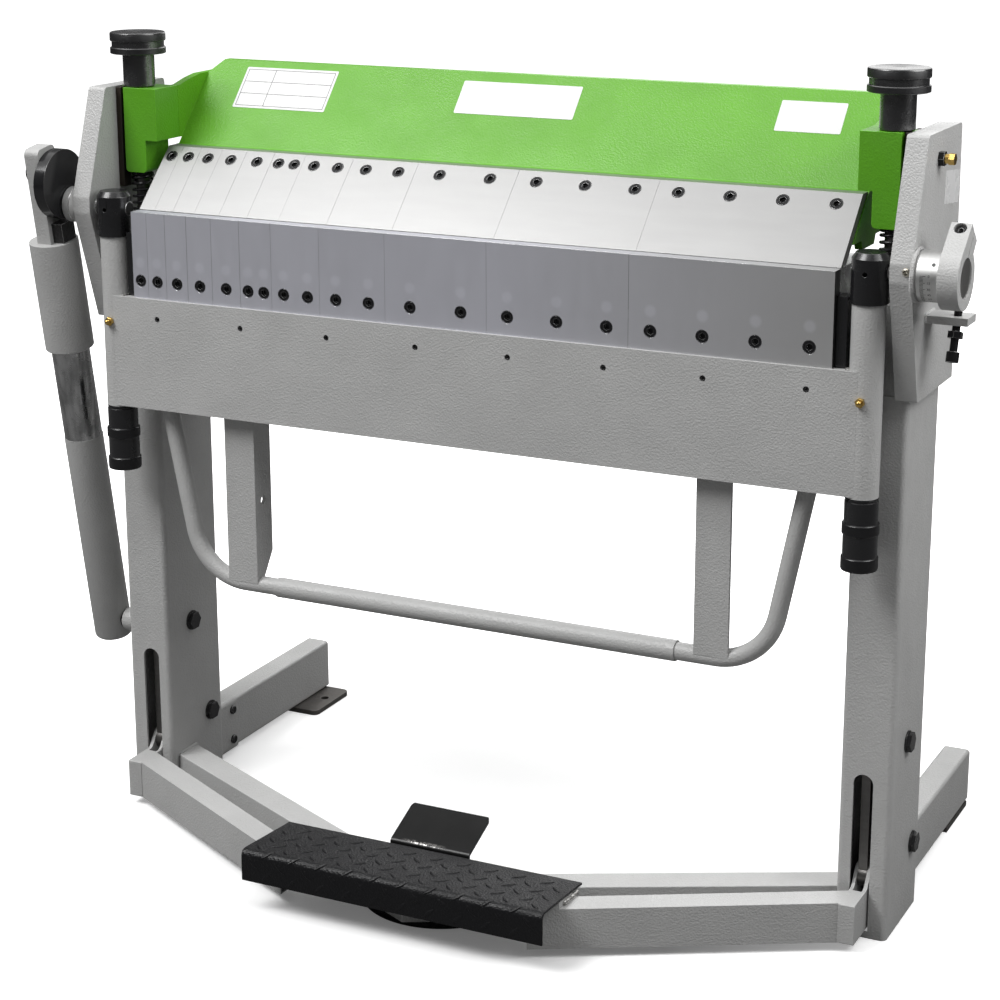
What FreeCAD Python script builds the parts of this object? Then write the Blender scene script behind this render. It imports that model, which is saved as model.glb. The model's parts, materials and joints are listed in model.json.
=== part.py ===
import FreeCAD, Part
import math
import os

# Foot-operated box and pan brake for sheet metal, in millimetres.
# X runs left to right along the bend line, -Y is the front, Z = 0 is the floor.
# X = 0 is the middle of the bend line, and Y = 0 lies below the bend line.

# Bend line and finger sets; the last finger fills what the others leave of the jaw
bend_height = 900.0
jaw_half = 510.0
set_widths = (25.0, 30.0, 35.0, 40.0, 45.0, 50.0, 75.0, 100.0, 150.0, 200.0)
two_screw_width = 50.0
row_width = 200.0
seam_gap = 0.2
fit_gap = 0.3
running_gap = 0.05
jaw_gap = 0.6
wide_segment_edge = 30.0
wide_screw_pitch = 70.0
segment_screw_head_d = 16.0
segment_screw_head_h = 8.0
segment_screw_d = 10.0
bending_screw_length = 22.0
clamping_screw_length = 18.0
counterbore_gap = 0.7
segment_hex = 8.0

# Bending blade segments and their carrier on the leaf
blade_drop = 0.4
blade_thick = 20.0
blade_height = 120.6
blade_screw_rise = 24.3
carrier_thick = 14.0
carrier_rise = 47.0
carrier_drop = 38.0
carrier_hole_depth = 10.8
carrier_end_gap = 0.6
carrier_end_thick = 14.0
carrier_end_depth = 24.0
carrier_end_rise = 89.0
carrier_foot_inset = 2.0

# Apron of the bending leaf
apron_front = -24.5
apron_thick = 20.0
apron_height = 158.5
set_screw_d = 8.0
set_screw_drop = 28.0
set_screw_inset = 35.4
set_screw_count = 8
set_screw_shift = 4.5
set_screw_sunk = 1.0
set_screw_end_gap = 4.0
set_screw_hex = 4.0
set_screw_hex_depth = 3.5

# Leaf hinge: heads, slide posts, tubes and height nuts
post_out = 39.0
post_y = -4.0
post_r = 15.0
post_thread_r = 12.0
head_r = 23.5
head_height = 63.0
head_rise = 24.7
head_chamfer = 5.0
head_chamfer_h = 7.5
slide_tube_r = 21.0
slide_tube_length = 243.0
thread_top_rise = 3.5
thread_end_rise = 6.0
thread_chamfer = 1.5
nut_r = 23.5
nut_height = 94.5
nut_chamfer = 2.0
nut_groove_levels = (16.0, 47.0, 66.0)
nut_groove_width = 5.0
nut_groove_depth = 2.0
nut_groove_flank = 1.0
pin_r = 10.0
pin_step_gap = 3.5
journal_r = 12.5
shaft_r = 25.0
shaft_chamfer = 1.5
grub_hole_d = 6.0

# Grease nipples on the slide tubes
nipple_drop = 158.0
nipple_r = 3.0
nipple_sunk = 5.0
nipple_seat_gap = 0.2
nipple_collar_r = 4.2
nipple_collar_end = 2.6
nipple_neck_r = 2.2
nipple_neck_end = 3.6
nipple_ball_end = 5.0
nipple_tip_r = 1.6
nipple_length = 7.0

# Lift handle below the apron; its tube ends and drop count from the apron's lower edge
strut_inset = 179.2
strut_width = 47.6
strut_wall = 6.0
strut_depth = 43.0
strut_foot_gap = 4.0
strut_toe_depth = 16.0
strut_toe_height = 40.0
strut_hole_d = 13.0
strut_hole_rise = 123.0
bow_r = 12.2
bow_top_inset = 27.0
bow_low_inset = 83.0
bow_overlap = 34.5
bow_drop = 247.5
bow_bend_r = 85.0
grip_inset = 206.4
grip_r = 14.3

# Clamping segments and the upper beam
setback = 1.5
foot_width = 20.0
segment_rise = 79.3
clamp_screw_drop = 12.5
clamp_screw_reach = 28.0
nose_drop = 58.0
nose_thick = 20.0
nose_inside = 44.0
slope_start_y = 107.7
beam_end_gap = 1.3
beam_top_y = 207.0
beam_top_rise = 190.0
beam_back_y = 220.4
beam_back_rise = 85.0
beam_under_y = 160.0
beam_wall = 10.0
corner_cut_x = 18.5
corner_cut_z = 17.0
corner_cut_run = 60.0
rib_thick = 10.0
rib_drop = 12.0
rib_front_y = 76.0
rib_back_y = 136.0
rib_chamfer = 6.0
end_plate_thick = 12.0
end_plate_top_y = 168.8
end_plate_top_gap = 0.6
end_plate_knee_y = 142.5
end_plate_knee_drop = 22.0
end_plate_foot_run = 6.0
beam_lift = 45.0

# End blocks that guide the beam between the side plates
block_step_width = 18.9
block_width = 53.2
block_front_y = 51.7
block_depth = 58.0
block_top_rise = 161.3
block_step_rise = 88.0
block_low_rise = 42.4
block_corner_r = 6.0
tongue_y = 80.0
tongue_width = 20.0

# Knobs, pull rods and return springs
rod_out = 40.3
rod_y = 74.4
spindle_r = 10.0
knob_r = 38.9
knob_sleeve_r = 22.2
knob_sleeve_h = 46.6
knob_sleeve_chamfer = 1.5
knob_disc_h = 12.4
knob_groove_h = 8.4
knob_lower_h = 9.2
knob_lower_chamfer = 1.2
knob_top_chamfer = 2.0
knob_groove_depth = 2.4
strap_thick = 12.0
strap_depth = 32.0
strap_top_drop = 260.0
strap_shoulder_sunk = 4.0
strap_shoulder_h = 10.0
link_slot_gap = 0.5
link_slot_run = 9.0
spring_seat_drop = 50.0
spring_wire = 4.2
spring_mean_r = 14.6
spring_turns = 9

# Side plates, gibs and bushes
plate_gap = 13.0
plate_thick = 27.8
plate_low_drop = 164.0
plate_top_rise = 163.0
plate_foot_front_y = 25.5
plate_foot_back_y = 183.5
plate_foot_r = 4.0
plate_top_front_y = 28.0
plate_top_back_y = 175.0
plate_top_r = 6.0
plate_nose_y = -21.6
plate_nose_rise = 14.0
plate_nose_drop = 8.0
plate_nose_r = 14.0
gib_width = 17.0
gib_low_rise = 21.0
bush_wall = 4.0
bush_flange_h = 6.0
bush_flange_low_r = 21.0
bush_flange_right_r = 30.5
bush_flange_rim = 1.0
gib_screw_y = 76.0
gib_screw_rise = 130.0
gib_screw_r = 6.0
gib_screw_out = 19.7
gib_head_af = 13.5
gib_head_h = 7.5
gib_nut_af = 17.0
gib_nut_h = 7.5
pointer_inset = 7.3
pointer_rise = 6.0
pointer_r = 2.5
pointer_length = 4.5
pointer_head_r = 5.0
pointer_rim_h = 1.2
pointer_top_r = 3.4
pointer_head_h = 2.8
pointer_cross_half = 3.0
pointer_cross_width = 0.5
pointer_cross_floor = 1.4

# Bed beam and lower jaw
bed_inset = 2.0
bed_top_drop = 16.0
bed_wall = 10.0
bed_rod_gap = 1.0
window_r = 35.0
window_drop = 105.0
jaw_front_y = 0.5
jaw_depth = 110.0
jaw_nose_h = 31.0
jaw_low_drop = 54.0
jaw_heel_run = 16.0

# Columns, feet and floor frame
column_inset = 22.3
column_width = 70.0
column_front_y = 44.0
column_depth = 140.0
column_wall = 4.0
column_corner_r = 8.0
cap_thick = 6.0
slot_width = 26.7
slot_top_z = 229.7
slot_low_z = 8.0
slot_depth = 9.0
foot_inset = 5.2
foot_width_x = 40.0
foot_height = 80.0
foot_wall = 3.0
foot_corner_r = 5.0
foot_length = 342.0
floor_plate_thick = 8.0
floor_plate_reach = 61.0
floor_plate_length = 109.0
floor_plate_inset = 3.0
floor_plate_corner_r = 10.0
floor_bolt_reach = 42.0
floor_bolt_inset = 49.0
floor_bolt_d = 13.0
bracket_wall = 3.0
bracket_length = 52.0
foot_screw_out = 37.0
foot_screw_z = (73.7, 24.5)
foot_screw_r = 4.0
foot_screw_length = 8.0
foot_screw_head_r = 7.0
foot_screw_head_h = 4.5
foot_screw_chamfer = 1.5
spreader_y = 83.5
spreader_apex_y = -175.0
spreader_width = 42.0
spreader_height = 50.0
spreader_wall = 3.0
spreader_top_z = 60.0

# Pedal
pedal_pivot_y = 149.7
pedal_pivot_z = 100.6
pivot_bolt_r = 8.0
bolt_af = 24.0
bolt_head_h = 8.0
bolt_nut_h = 12.0
bolt_end_out = 14.0
bolt_washer_r = 15.0
bolt_washer_h = 2.0
guide_bolt_y = 107.4
guide_bolt_z = 259.6
link_arm = 75.0
link_pin_r = 7.0
lever_offset = 0.4
lever_thick = 22.0
lever_front_y = -10.0
lever_low_z = 13.0
lever_height = 56.0
lever_front_r = 2.0
lever_knee_y = 96.0
lever_knee_r = 20.0
lever_lug_y = 62.0
lever_lug_rise = 16.0
lever_lug_foot_y = 44.0
lever_lug_r = 10.0
lever_eye_r = 24.0
lever_eye_low = (14.0, -19.5)
lever_eye_high = (10.0, 21.8)
fork_front_y = 36.0
fork_back_y = 115.0
fork_low_z = 44.0
pedal_bar_width = 36.5
pedal_bar_wall = 3.0
pedal_bar_end_x = 185.0
pedal_bar_end_y = -180.7
pedal_bar_y = 0.3
tread_half = 223.5
tread_front_y = -239.0
tread_back_y = -112.2
tread_back_z = 78.4
tread_slope = 4.8
tread_thick = 5.0
tread_lip = 46.0
tread_bend_r = 6.0
tread_seat_inset = 1.5

# Release pedal behind the tread and its floor plate
latch_x = -6.0
release_half = 60.0
release_gap = 5.0
release_thick = 4.0
release_pivot_z = 38.0
release_pin_r = 5.0
release_bend_z = 79.5
release_bend_r = 3.0
release_corner_r = 8.0
release_length = 72.6
release_slope = 22.7
latch_base_half = 73.0
latch_front_y = -189.5
latch_side_run = 26.5
latch_back_run = 20.0
latch_base_thick = 8.0
latch_ear_gap = 0.5
latch_ear_thick = 6.0
latch_ear_front = 9.5
latch_ear_back = 14.0
latch_ear_rise = 11.0
latch_ear_r = 7.0

# Angle stop on the right end of the hinge shaft
ring_gap = 0.7
ring_r = 31.2
ring_width = 27.2
collar_width = 25.5
collar_r = 38.7
collar_lean = 41.5
lug_front = 29.0
lug_reach = 59.5
lug_back = -5.5
lug_back_reach = 57.7
lug_heel = 33.0
collar_slit = 2.5
collar_slit_start = 20.0
collar_slit_level = 11.0
collar_screw_reach = 50.7
collar_screw_seat = 18.0
collar_screw_d = 8.0
collar_screw_length = 20.0
collar_screw_hole_length = 21.0
collar_screw_head_d = 13.0
collar_screw_head_h = 7.0
collar_screw_hex = 6.0
collar_counterbore_r = 8.0
shaft_end_recess = 1.5
stop_bar_reach = 53.7
stop_bar_front_y = 42.0
stop_bar_width = 38.0
stop_bar_top_drop = 57.0
stop_bar_thick = 10.0
stop_bolt_out = 37.2
stop_bolt_y = 55.0
stop_bolt_lean = 18.0
stop_bolt_r = 5.0
stop_bolt_tip = 19.0
stop_bolt_chamfer = 2.0
stop_head_r = 8.0
stop_head_low = -52.5
stop_head_top = -39.5
stop_hex = 8.0
stop_hex_depth = 5.0
stop_nut_low = -23.0
stop_nut_af = 17.0
stop_nut_h = 8.5

# Balance strut on the left end of the hinge shaft
crank_out = 19.2
crank_thick = 17.5
crank_disc_r = 49.0
crank_disc_y = -13.0
crank_disc_rise = 30.0
crank_pin_y = -22.0
crank_pin_rise = 45.0
crank_pin_r = 9.0
crank_pin_out = 9.0
crank_washer_r = 14.0
crank_washer_h = 8.0
anchor_y = 90.0
anchor_z = 252.0
anchor_gap = 1.3
anchor_boss_r = 17.0
head_bar_thick = 23.0
head_bar_front = 22.0
head_bar_back = 19.0
head_bar_top = 38.5
head_bar_corner_r = 9.0
cap_distance = 99.0
neck_distance = 70.0
neck_half = 15.0
sleeve_r = 35.0
sleeve_length = 163.0
sleeve_chamfer = 1.5
sleeve_floor = 10.0
balance_rod_r = 27.5
balance_tube_r = 28.4
rod_engaged = 75.0
tube_top_distance = 401.0
tube_end_past_anchor = 30.0
tube_taper = (14.0, 4.0)
tube_taper_r = (4.0, 12.0)
strut_bolt_r = 8.0
strut_bolt_head_r = 13.0
strut_bolt_head_h = 12.0
strut_bolt_out = 8.0
strut_bolt_gap = 0.5

# Heights that follow from the bend line
blade_top_z = bend_height - blade_drop
blade_low_z = blade_top_z - blade_height
jaw_top_z = blade_top_z
foot_z = jaw_top_z + jaw_gap
segment_top_z = foot_z + segment_rise
apron_low_z = blade_low_z - apron_height
head_low_z = bend_height + head_rise - head_height
tube_top_z = head_low_z - fit_gap
tube_low_z = tube_top_z - slide_tube_length
nipple_z = bend_height - nipple_drop
bow_top_z = apron_low_z + bow_overlap
bow_low_z = apron_low_z - bow_drop
strut_hole_z = bow_low_z + strut_hole_rise
beam_top_z = bend_height + beam_top_rise
beam_back_z = bend_height + beam_back_rise
block_top_z = bend_height + block_top_rise
block_step_z = bend_height + block_step_rise
block_low_z = bend_height + block_low_rise
strap_top_z = bend_height - strap_top_drop
spring_seat_z = bend_height - spring_seat_drop
plate_low_z = bend_height - plate_low_drop
plate_top_z = bend_height + plate_top_rise
gib_low_z = bend_height + gib_low_rise
gib_screw_z = bend_height + gib_screw_rise
pointer_z = bend_height + pointer_rise
bed_top_z = bend_height - bed_top_drop
jaw_low_z = bend_height - jaw_low_drop
stop_bar_top_z = bend_height - stop_bar_top_drop
crank_disc_z = bend_height + crank_disc_rise
crank_pin_z = bend_height + crank_pin_rise

# Places along X that follow from the jaw
segment_widths = set_widths + (2 * jaw_half - sum(set_widths),)
post_x = jaw_half + post_out
strut_x = jaw_half - strut_inset
bow_top_x = jaw_half - bow_top_inset
bow_low_x = jaw_half - bow_low_inset
grip_half = jaw_half - grip_inset
beam_half = jaw_half + beam_end_gap
block_step_x = beam_half + block_step_width
block_outer_x = beam_half + block_width
rod_x = beam_half + rod_out
plate_inner_x = block_outer_x + plate_gap
plate_outer_x = plate_inner_x + plate_thick
column_x = plate_inner_x - column_inset
column_inner_x = column_x - column_width / 2
column_outer_x = column_x + column_width / 2
lever_x = rod_x + lever_offset
lever_inner_x = lever_x - lever_thick / 2
lever_outer_x = lever_x + lever_thick / 2
foot_x = column_x - foot_inset
foot_inner_x = foot_x - foot_width_x / 2
foot_outer_x = foot_x + foot_width_x / 2
bracket_inner_x = foot_inner_x - bracket_wall
floor_plate_inner_x = foot_x - floor_plate_reach
floor_bolt_x = foot_x - floor_bolt_reach
gib_screw_end_x = plate_outer_x + gib_screw_out
pointer_x = plate_outer_x - pointer_inset
ring_start_x = plate_outer_x + bush_flange_h + ring_gap
collar_start_x = ring_start_x + ring_width + fit_gap
collar_end_x = collar_start_x + collar_width
right_shaft_end_x = collar_end_x - shaft_end_recess
stop_bar_end_x = plate_outer_x + stop_bar_reach
stop_bolt_x = plate_outer_x + stop_bolt_out
crank_face_x = -plate_outer_x - crank_out
strut_axis_x = crank_face_x - crank_thick - fit_gap - head_bar_thick / 2
anchor_face_x = strut_axis_x + balance_tube_r + anchor_gap

# Places along Y and on the pedal
apron_back = apron_front + apron_thick
column_back_y = column_front_y + column_depth
bed_front_y = column_front_y + bed_inset
bed_back_y = column_back_y
foot_end_y = column_back_y + foot_length
floor_plate_back_y = foot_end_y - floor_plate_inset
floor_bolt_y = floor_plate_back_y - floor_bolt_inset
foot_screw_y = column_back_y + foot_screw_out
link_half_angle = math.asin(beam_lift / 2 / link_arm)
link_pin_y = pedal_pivot_y - link_arm * math.cos(link_half_angle)
link_pin_z = pedal_pivot_z - link_arm * math.sin(link_half_angle)
lever_top_z = lever_low_z + lever_height
pedal_bar_slope = (pedal_bar_y - pedal_bar_end_y) / (column_inner_x - pedal_bar_end_x)
tread_rise = math.tan(math.radians(tread_slope))
release_front_y = tread_back_y + release_gap
release_pin_y = release_front_y + release_thick / 2
latch_low_z = spreader_top_z - spreader_height - latch_base_thick


def vec(x, y, z):
    return FreeCAD.Vector(x, y, z)


def place(axis, a, b, level):
    """Point in space for the pair (a, b) in the plane across an axis."""
    if axis == "X":
        return vec(level, a, b)
    if axis == "Y":
        return vec(a, level, b)
    return vec(a, b, level)


def outline(axis, points, level):
    """Closed wire through points; a third number at a corner is its radius."""
    flat = [vec(p[0], p[1], 0) for p in points]
    radii = [p[2] if len(p) == 3 else 0.0 for p in points]
    starts = []
    ends = []
    middles = []
    count = len(points)
    for i in range(count):
        corner = flat[i]
        back = flat[i - 1].sub(corner)
        ahead = flat[(i + 1) % count].sub(corner)
        back.normalize()
        ahead.normalize()
        half = back.getAngle(ahead) / 2
        run = radii[i] / math.tan(half)
        starts.append(corner.add(back * run))
        ends.append(corner.add(ahead * run))
        bisector = back.add(ahead)
        if radii[i] > 0:
            bisector.normalize()
        reach = radii[i] / math.sin(half) - radii[i]
        middles.append(corner.add(bisector * reach))
    edges = []
    for i in range(count):
        first = place(axis, starts[i].x, starts[i].y, level)
        last = place(axis, ends[i].x, ends[i].y, level)
        if radii[i] > 0:
            middle = place(axis, middles[i].x, middles[i].y, level)
            edges.append(Part.Arc(first, middle, last).toShape())
        following = starts[(i + 1) % count]
        next_first = place(axis, following.x, following.y, level)
        if next_first.sub(last).Length > 1e-6:
            edges.append(Part.makeLine(last, next_first))
    return Part.Wire(edges)


def along(axis, length):
    return place(axis, 0, 0, length)


def prism(axis, points, low, high):
    """Solid with the given outline, from low to high along an axis."""
    face = Part.Face(outline(axis, points, low))
    return face.extrude(along(axis, high - low))


def hollow_prism(axis, points, wall, low, high):
    """Open-ended tube whose outer outline is given."""
    outer = Part.Face(outline(axis, points, low))
    inner = outer.makeOffset2D(-wall, 0, False, False)
    return outer.cut(inner).extrude(along(axis, high - low))


def block(x0, x1, y0, y1, z0, z1):
    return Part.makeBox(x1 - x0, y1 - y0, z1 - z0, vec(x0, y0, z0))


def rod(axis, radius, a, b, low, high):
    return Part.makeCylinder(radius, high - low, place(axis, a, b, low), along(axis, 1))


def pipe(axis, radius, bore, a, b, low, high):
    return rod(axis, radius, a, b, low, high).cut(rod(axis, bore, a, b, low, high))


def turned(profile, centre, direction):
    """Solid of revolution from (radius, distance) pairs along a direction."""
    points = [vec(r, 0, z) for r, z in profile]
    points.append(points[0])
    solid = Part.Face(Part.makePolygon(points)).revolve(vec(0, 0, 0), vec(0, 0, 1), 360)
    turn = FreeCAD.Rotation(vec(0, 0, 1), direction)
    solid.Placement = FreeCAD.Placement(centre, turn)
    return solid


def rectangle(a0, a1, b0, b1, radius=0.0):
    return ((a0, b0, radius), (a1, b0, radius), (a1, b1, radius), (a0, b1, radius))


def mirrored(shape):
    return shape.mirror(vec(0, 0, 0), vec(1, 0, 0))


def both_sides(shape):
    """The piece and its mirror image as two separate solids."""
    return [shape, mirrored(shape)]


def joined(shapes):
    """One solid from touching or overlapping pieces."""
    result = shapes[0]
    for shape in shapes[1:]:
        result = result.fuse(shape)
    return result.removeSplitter()


def hexagon(across_flats):
    radius = across_flats / math.sqrt(3)
    angles = [math.radians(30 + 60 * k) for k in range(6)]
    return [(radius * math.cos(a), radius * math.sin(a)) for a in angles]


def oriented(shape, centre, direction):
    """Copy of a shape made along +Z, moved to a centre and a direction."""
    result = shape.copy()
    turn = FreeCAD.Rotation(vec(0, 0, 1), direction)
    result.Placement = FreeCAD.Placement(centre, turn)
    return result


def socket_screw(head_d, head_h, shank_d, length, hexagon_af):
    """Cap screw along +Z: head from 0 to head_h, shank below it."""
    head = rod("Z", head_d / 2, 0, 0, 0, head_h)
    shank = rod("Z", shank_d / 2, 0, 0, -length, 0)
    recess = prism("Z", hexagon(hexagon_af), head_h * 0.4, head_h + 1)
    return joined([head, shank]).cut(recess)


def hex_nut(across_flats, height, bore_r):
    return prism("Z", hexagon(across_flats), 0, height).cut(rod("Z", bore_r, 0, 0, -1, height + 1))


def screw_offsets(width):
    """Screw places across a segment: one, two or a row, by its width."""
    if width < two_screw_width:
        return [width / 2]
    if width < row_width:
        return [width / 4, width * 3 / 4]
    count = round(width / wide_screw_pitch)
    pitch = (width - 2 * wide_segment_edge) / (count - 1)
    return [wide_segment_edge + pitch * k for k in range(count)]


def segment_places():
    """Left end, width and screw places of each segment along X."""
    left = -jaw_half
    for width in segment_widths:
        yield left, width, [left + offset for offset in screw_offsets(width)]
        left += width


def bending_segments():
    """Upright blade segments with counterbored screw holes near the bottom."""
    solids = []
    screw_z = blade_low_z + blade_screw_rise
    head_r_cut = segment_screw_head_d / 2 + counterbore_gap
    depth = segment_screw_head_h + counterbore_gap
    for left, width, screws in segment_places():
        x0 = left + seam_gap / 2
        x1 = left + width - seam_gap / 2
        piece = block(x0, x1, -blade_thick, 0, blade_low_z, blade_top_z)
        for x in screws:
            piece = piece.cut(rod("Y", head_r_cut, x, screw_z, -blade_thick, depth - blade_thick))
            piece = piece.cut(rod("Y", segment_screw_d / 2, x, screw_z, -blade_thick, 1))
        solids.append(piece)
    return solids


def clamp_normal():
    """Direction out of the sloping face of the clamping segments."""
    return vec(0, -math.sqrt(0.5), math.sqrt(0.5))


def clamp_screw_point(x):
    z = segment_top_z - clamp_screw_drop
    return vec(x, setback + z - foot_z, z)


def clamping_segments():
    """Sloping clamp fingers with a narrow foot and counterbored holes."""
    section = (
        (setback, foot_z),
        (setback + segment_rise, segment_top_z),
        (setback + segment_rise + foot_width, segment_top_z),
        (setback + foot_width, foot_z),
    )
    head_hole = rod("Z", segment_screw_head_d / 2 + counterbore_gap, 0, 0, -segment_screw_head_h, 5)
    shank_hole = rod("Z", segment_screw_d / 2, 0, 0, -foot_width, 5)
    solids = []
    for left, width, screws in segment_places():
        piece = prism("X", section, left + seam_gap / 2, left + width - seam_gap / 2)
        for x in screws:
            for hole in (head_hole, shank_hole):
                piece = piece.cut(oriented(hole, clamp_screw_point(x), clamp_normal()))
        solids.append(piece)
    return solids


def bending_screws():
    screw = socket_screw(
        segment_screw_head_d, segment_screw_head_h, segment_screw_d, bending_screw_length, segment_hex
    )
    y = segment_screw_head_h + counterbore_gap - blade_thick
    z = blade_low_z + blade_screw_rise
    screws = []
    for left, width, places in segment_places():
        for x in places:
            screws.append(oriented(screw, vec(x, y, z), vec(0, -1, 0)))
    return screws


def clamping_screws():
    screw = socket_screw(
        segment_screw_head_d, segment_screw_head_h, segment_screw_d, clamping_screw_length, segment_hex
    )
    screws = []
    for left, width, places in segment_places():
        for x in places:
            seat = clamp_screw_point(x).add(clamp_normal() * -segment_screw_head_h)
            screws.append(oriented(screw, seat, clamp_normal()))
    return screws


def blade_carrier():
    """Angle section behind the blade, with an upright bar at each end."""
    section = (
        (apron_back, blade_low_z - carrier_drop),
        (carrier_thick, blade_low_z - carrier_drop),
        (carrier_thick, blade_low_z + carrier_rise),
        (0.0, blade_low_z + carrier_rise),
        (0.0, blade_low_z),
        (apron_back, blade_low_z),
    )
    carrier = prism("X", section, -jaw_half, jaw_half)
    screw_z = blade_low_z + blade_screw_rise
    for left, width, places in segment_places():
        for x in places:
            carrier = carrier.cut(rod("Y", segment_screw_d / 2, x, screw_z, 0, carrier_hole_depth))
    bar_x = jaw_half + carrier_end_gap
    bar = block(
        bar_x, bar_x + carrier_end_thick, -carrier_end_depth / 2, carrier_end_depth / 2,
        blade_low_z, blade_low_z + carrier_end_rise,
    )
    foot = block(
        jaw_half, bar_x + carrier_end_thick - carrier_foot_inset, apron_back, carrier_thick,
        blade_low_z - carrier_drop, blade_low_z,
    )
    return joined([carrier] + both_sides(bar) + both_sides(foot))


def apron():
    """Front slab of the leaf, hollowed at both ends for the slide tubes."""
    slab = block(-post_x, post_x, apron_front, apron_back, apron_low_z, blade_low_z)
    for x in (-post_x, post_x):
        slab = slab.cut(rod("Z", slide_tube_r, x, post_y, apron_low_z - 1, blade_low_z + 1))
    for x in set_screw_places():
        hole = rod("Y", set_screw_d / 2, x, blade_low_z - set_screw_drop, apron_front, apron_back)
        slab = slab.cut(hole)
    return slab


def set_screw_places():
    half = jaw_half - set_screw_inset
    pitch = 2 * half / (set_screw_count - 1)
    return [pitch * k - half + set_screw_shift for k in range(set_screw_count)]


def apron_screws():
    """Socket set screws that sit just below the front face of the apron."""
    screws = []
    length = apron_thick - set_screw_sunk - set_screw_end_gap
    recess = prism("Z", hexagon(set_screw_hex), -set_screw_hex_depth, 1)
    screw = rod("Z", set_screw_d / 2, 0, 0, -length, 0).cut(recess)
    for x in set_screw_places():
        face = vec(x, apron_front + set_screw_sunk, blade_low_z - set_screw_drop)
        screws.append(oriented(screw, face, vec(0, -1, 0)))
    return screws


def slide_tube():
    tube = pipe("Z", slide_tube_r, post_r + running_gap, post_x, post_y, tube_low_z, tube_top_z)
    return tube.cut(rod("Y", nipple_r, post_x, nipple_z, post_y - slide_tube_r, post_y))


def grease_nipple():
    """Ball-ended nipple whose shank sits in the wall of the slide tube."""
    profile = (
        (0, -nipple_sunk), (nipple_r, -nipple_sunk), (nipple_r, nipple_seat_gap),
        (nipple_collar_r, nipple_seat_gap), (nipple_collar_r, nipple_collar_end),
        (nipple_neck_r, nipple_neck_end), (nipple_r, nipple_ball_end), (nipple_tip_r, nipple_length),
        (0, nipple_length),
    )
    return turned(profile, vec(post_x, post_y - slide_tube_r, nipple_z), vec(0, -1, 0))


def hinge_post():
    """Pivot head turned in one piece with its slide post and thread."""
    top = bend_height + head_rise
    slide_low = tube_low_z + thread_top_rise
    thread_low = tube_low_z - nut_height + thread_end_rise
    profile = (
        (0, thread_low), (post_thread_r - thread_chamfer, thread_low),
        (post_thread_r, thread_low + thread_chamfer), (post_thread_r, slide_low), (post_r, slide_low),
        (post_r, head_low_z), (head_r, head_low_z), (head_r, top - head_chamfer_h),
        (head_r - head_chamfer, top), (0, top),
    )
    post = turned(profile, vec(post_x, post_y, 0), vec(0, 0, 1))
    post = post.cut(rod("X", pin_r, 0, bend_height, post_x - head_r, post_x + head_r))
    front = post_y - head_r
    return post.cut(rod("Y", grub_hole_d / 2, post_x, bend_height, front - 1, post_y))


def knurled_nut():
    """Height nut with turned grooves, a plain band and a chamfered bore."""
    bore = post_thread_r + fit_gap
    top = tube_low_z - fit_gap
    low = top - nut_height
    floor_r = nut_r - nut_groove_depth
    profile = [(bore, low), (nut_r - nut_chamfer, low), (nut_r, low + nut_chamfer)]
    for level in nut_groove_levels:
        start = low + level
        end = start + nut_groove_width
        profile += [(nut_r, start), (floor_r, start + nut_groove_flank)]
        profile += [(floor_r, end - nut_groove_flank), (nut_r, end)]
    profile += [(nut_r, top - nut_chamfer), (nut_r - nut_chamfer, top), (bore, top)]
    return turned(profile, vec(post_x, post_y, 0), vec(0, 0, 1))


def pivot_shaft(end_x):
    """Stepped hinge shaft: pin in the head, journal in the bush, wide outer end."""
    pin_start = post_x - head_r
    step = plate_inner_x - pin_step_gap
    shoulder = plate_outer_x + bush_flange_h + fit_gap
    profile = (
        (0, pin_start), (pin_r, pin_start), (pin_r, step), (journal_r, step),
        (journal_r, shoulder), (shaft_r, shoulder), (shaft_r, end_x - shaft_chamfer),
        (shaft_r - shaft_chamfer, end_x), (0, end_x),
    )
    return turned(profile, vec(0, 0, bend_height), vec(1, 0, 0))


def handle_strut(bow):
    """Upright angle behind the apron, seated on the handle tube."""
    low = bow_low_z + strut_foot_gap
    top = blade_low_z - carrier_drop
    back = apron_back
    front_plate = block(strut_x, strut_x + strut_width, back, back + strut_wall, low, top)
    flange = (
        (back, low), (back + strut_toe_depth, low), (back + strut_depth, low + strut_toe_height),
        (back + strut_depth, top), (back, top),
    )
    web = prism("X", flange, strut_x, strut_x + strut_wall)
    hole_end = strut_x + strut_wall + 1
    hole = rod("X", strut_hole_d / 2, back + strut_depth / 2, strut_hole_z, strut_x - 1, hole_end)
    return joined([front_plate, web]).cut(hole).cut(bow)


def bow_handle():
    """Round tube bent to a wide U below the apron."""
    y = apron_back + bow_r
    legs = vec(bow_top_x - bow_low_x, 0, bow_top_z - bow_low_z)
    legs.normalize()
    half = vec(-1, 0, 0).getAngle(legs) / 2
    run = bow_bend_r / math.tan(half)
    low = vec(bow_low_x, y, bow_low_z)
    leg_start = low.add(legs * run)
    flat_end = low.add(vec(-run, 0, 0))
    inward = legs.add(vec(-1, 0, 0))
    inward.normalize()
    middle = low.add(inward * (bow_bend_r / math.sin(half) - bow_bend_r))
    top = vec(bow_top_x, y, bow_top_z)
    right = [
        Part.Arc(flat_end, middle, leg_start).toShape(),
        Part.makeLine(leg_start, top),
    ]
    left = [mirrored(edge) for edge in right]
    floor_run = Part.makeLine(vec(-flat_end.x, y, bow_low_z), flat_end)
    path = Part.Wire(Part.__sortEdges__(left + [floor_run] + right))
    ring = Part.Wire(Part.makeCircle(bow_r, top, legs))
    return path.makePipeShell([ring], True, False)


def grip_sleeve():
    y = apron_back + bow_r
    return pipe("X", grip_r, bow_r, y, bow_low_z, -grip_half, grip_half)


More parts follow.
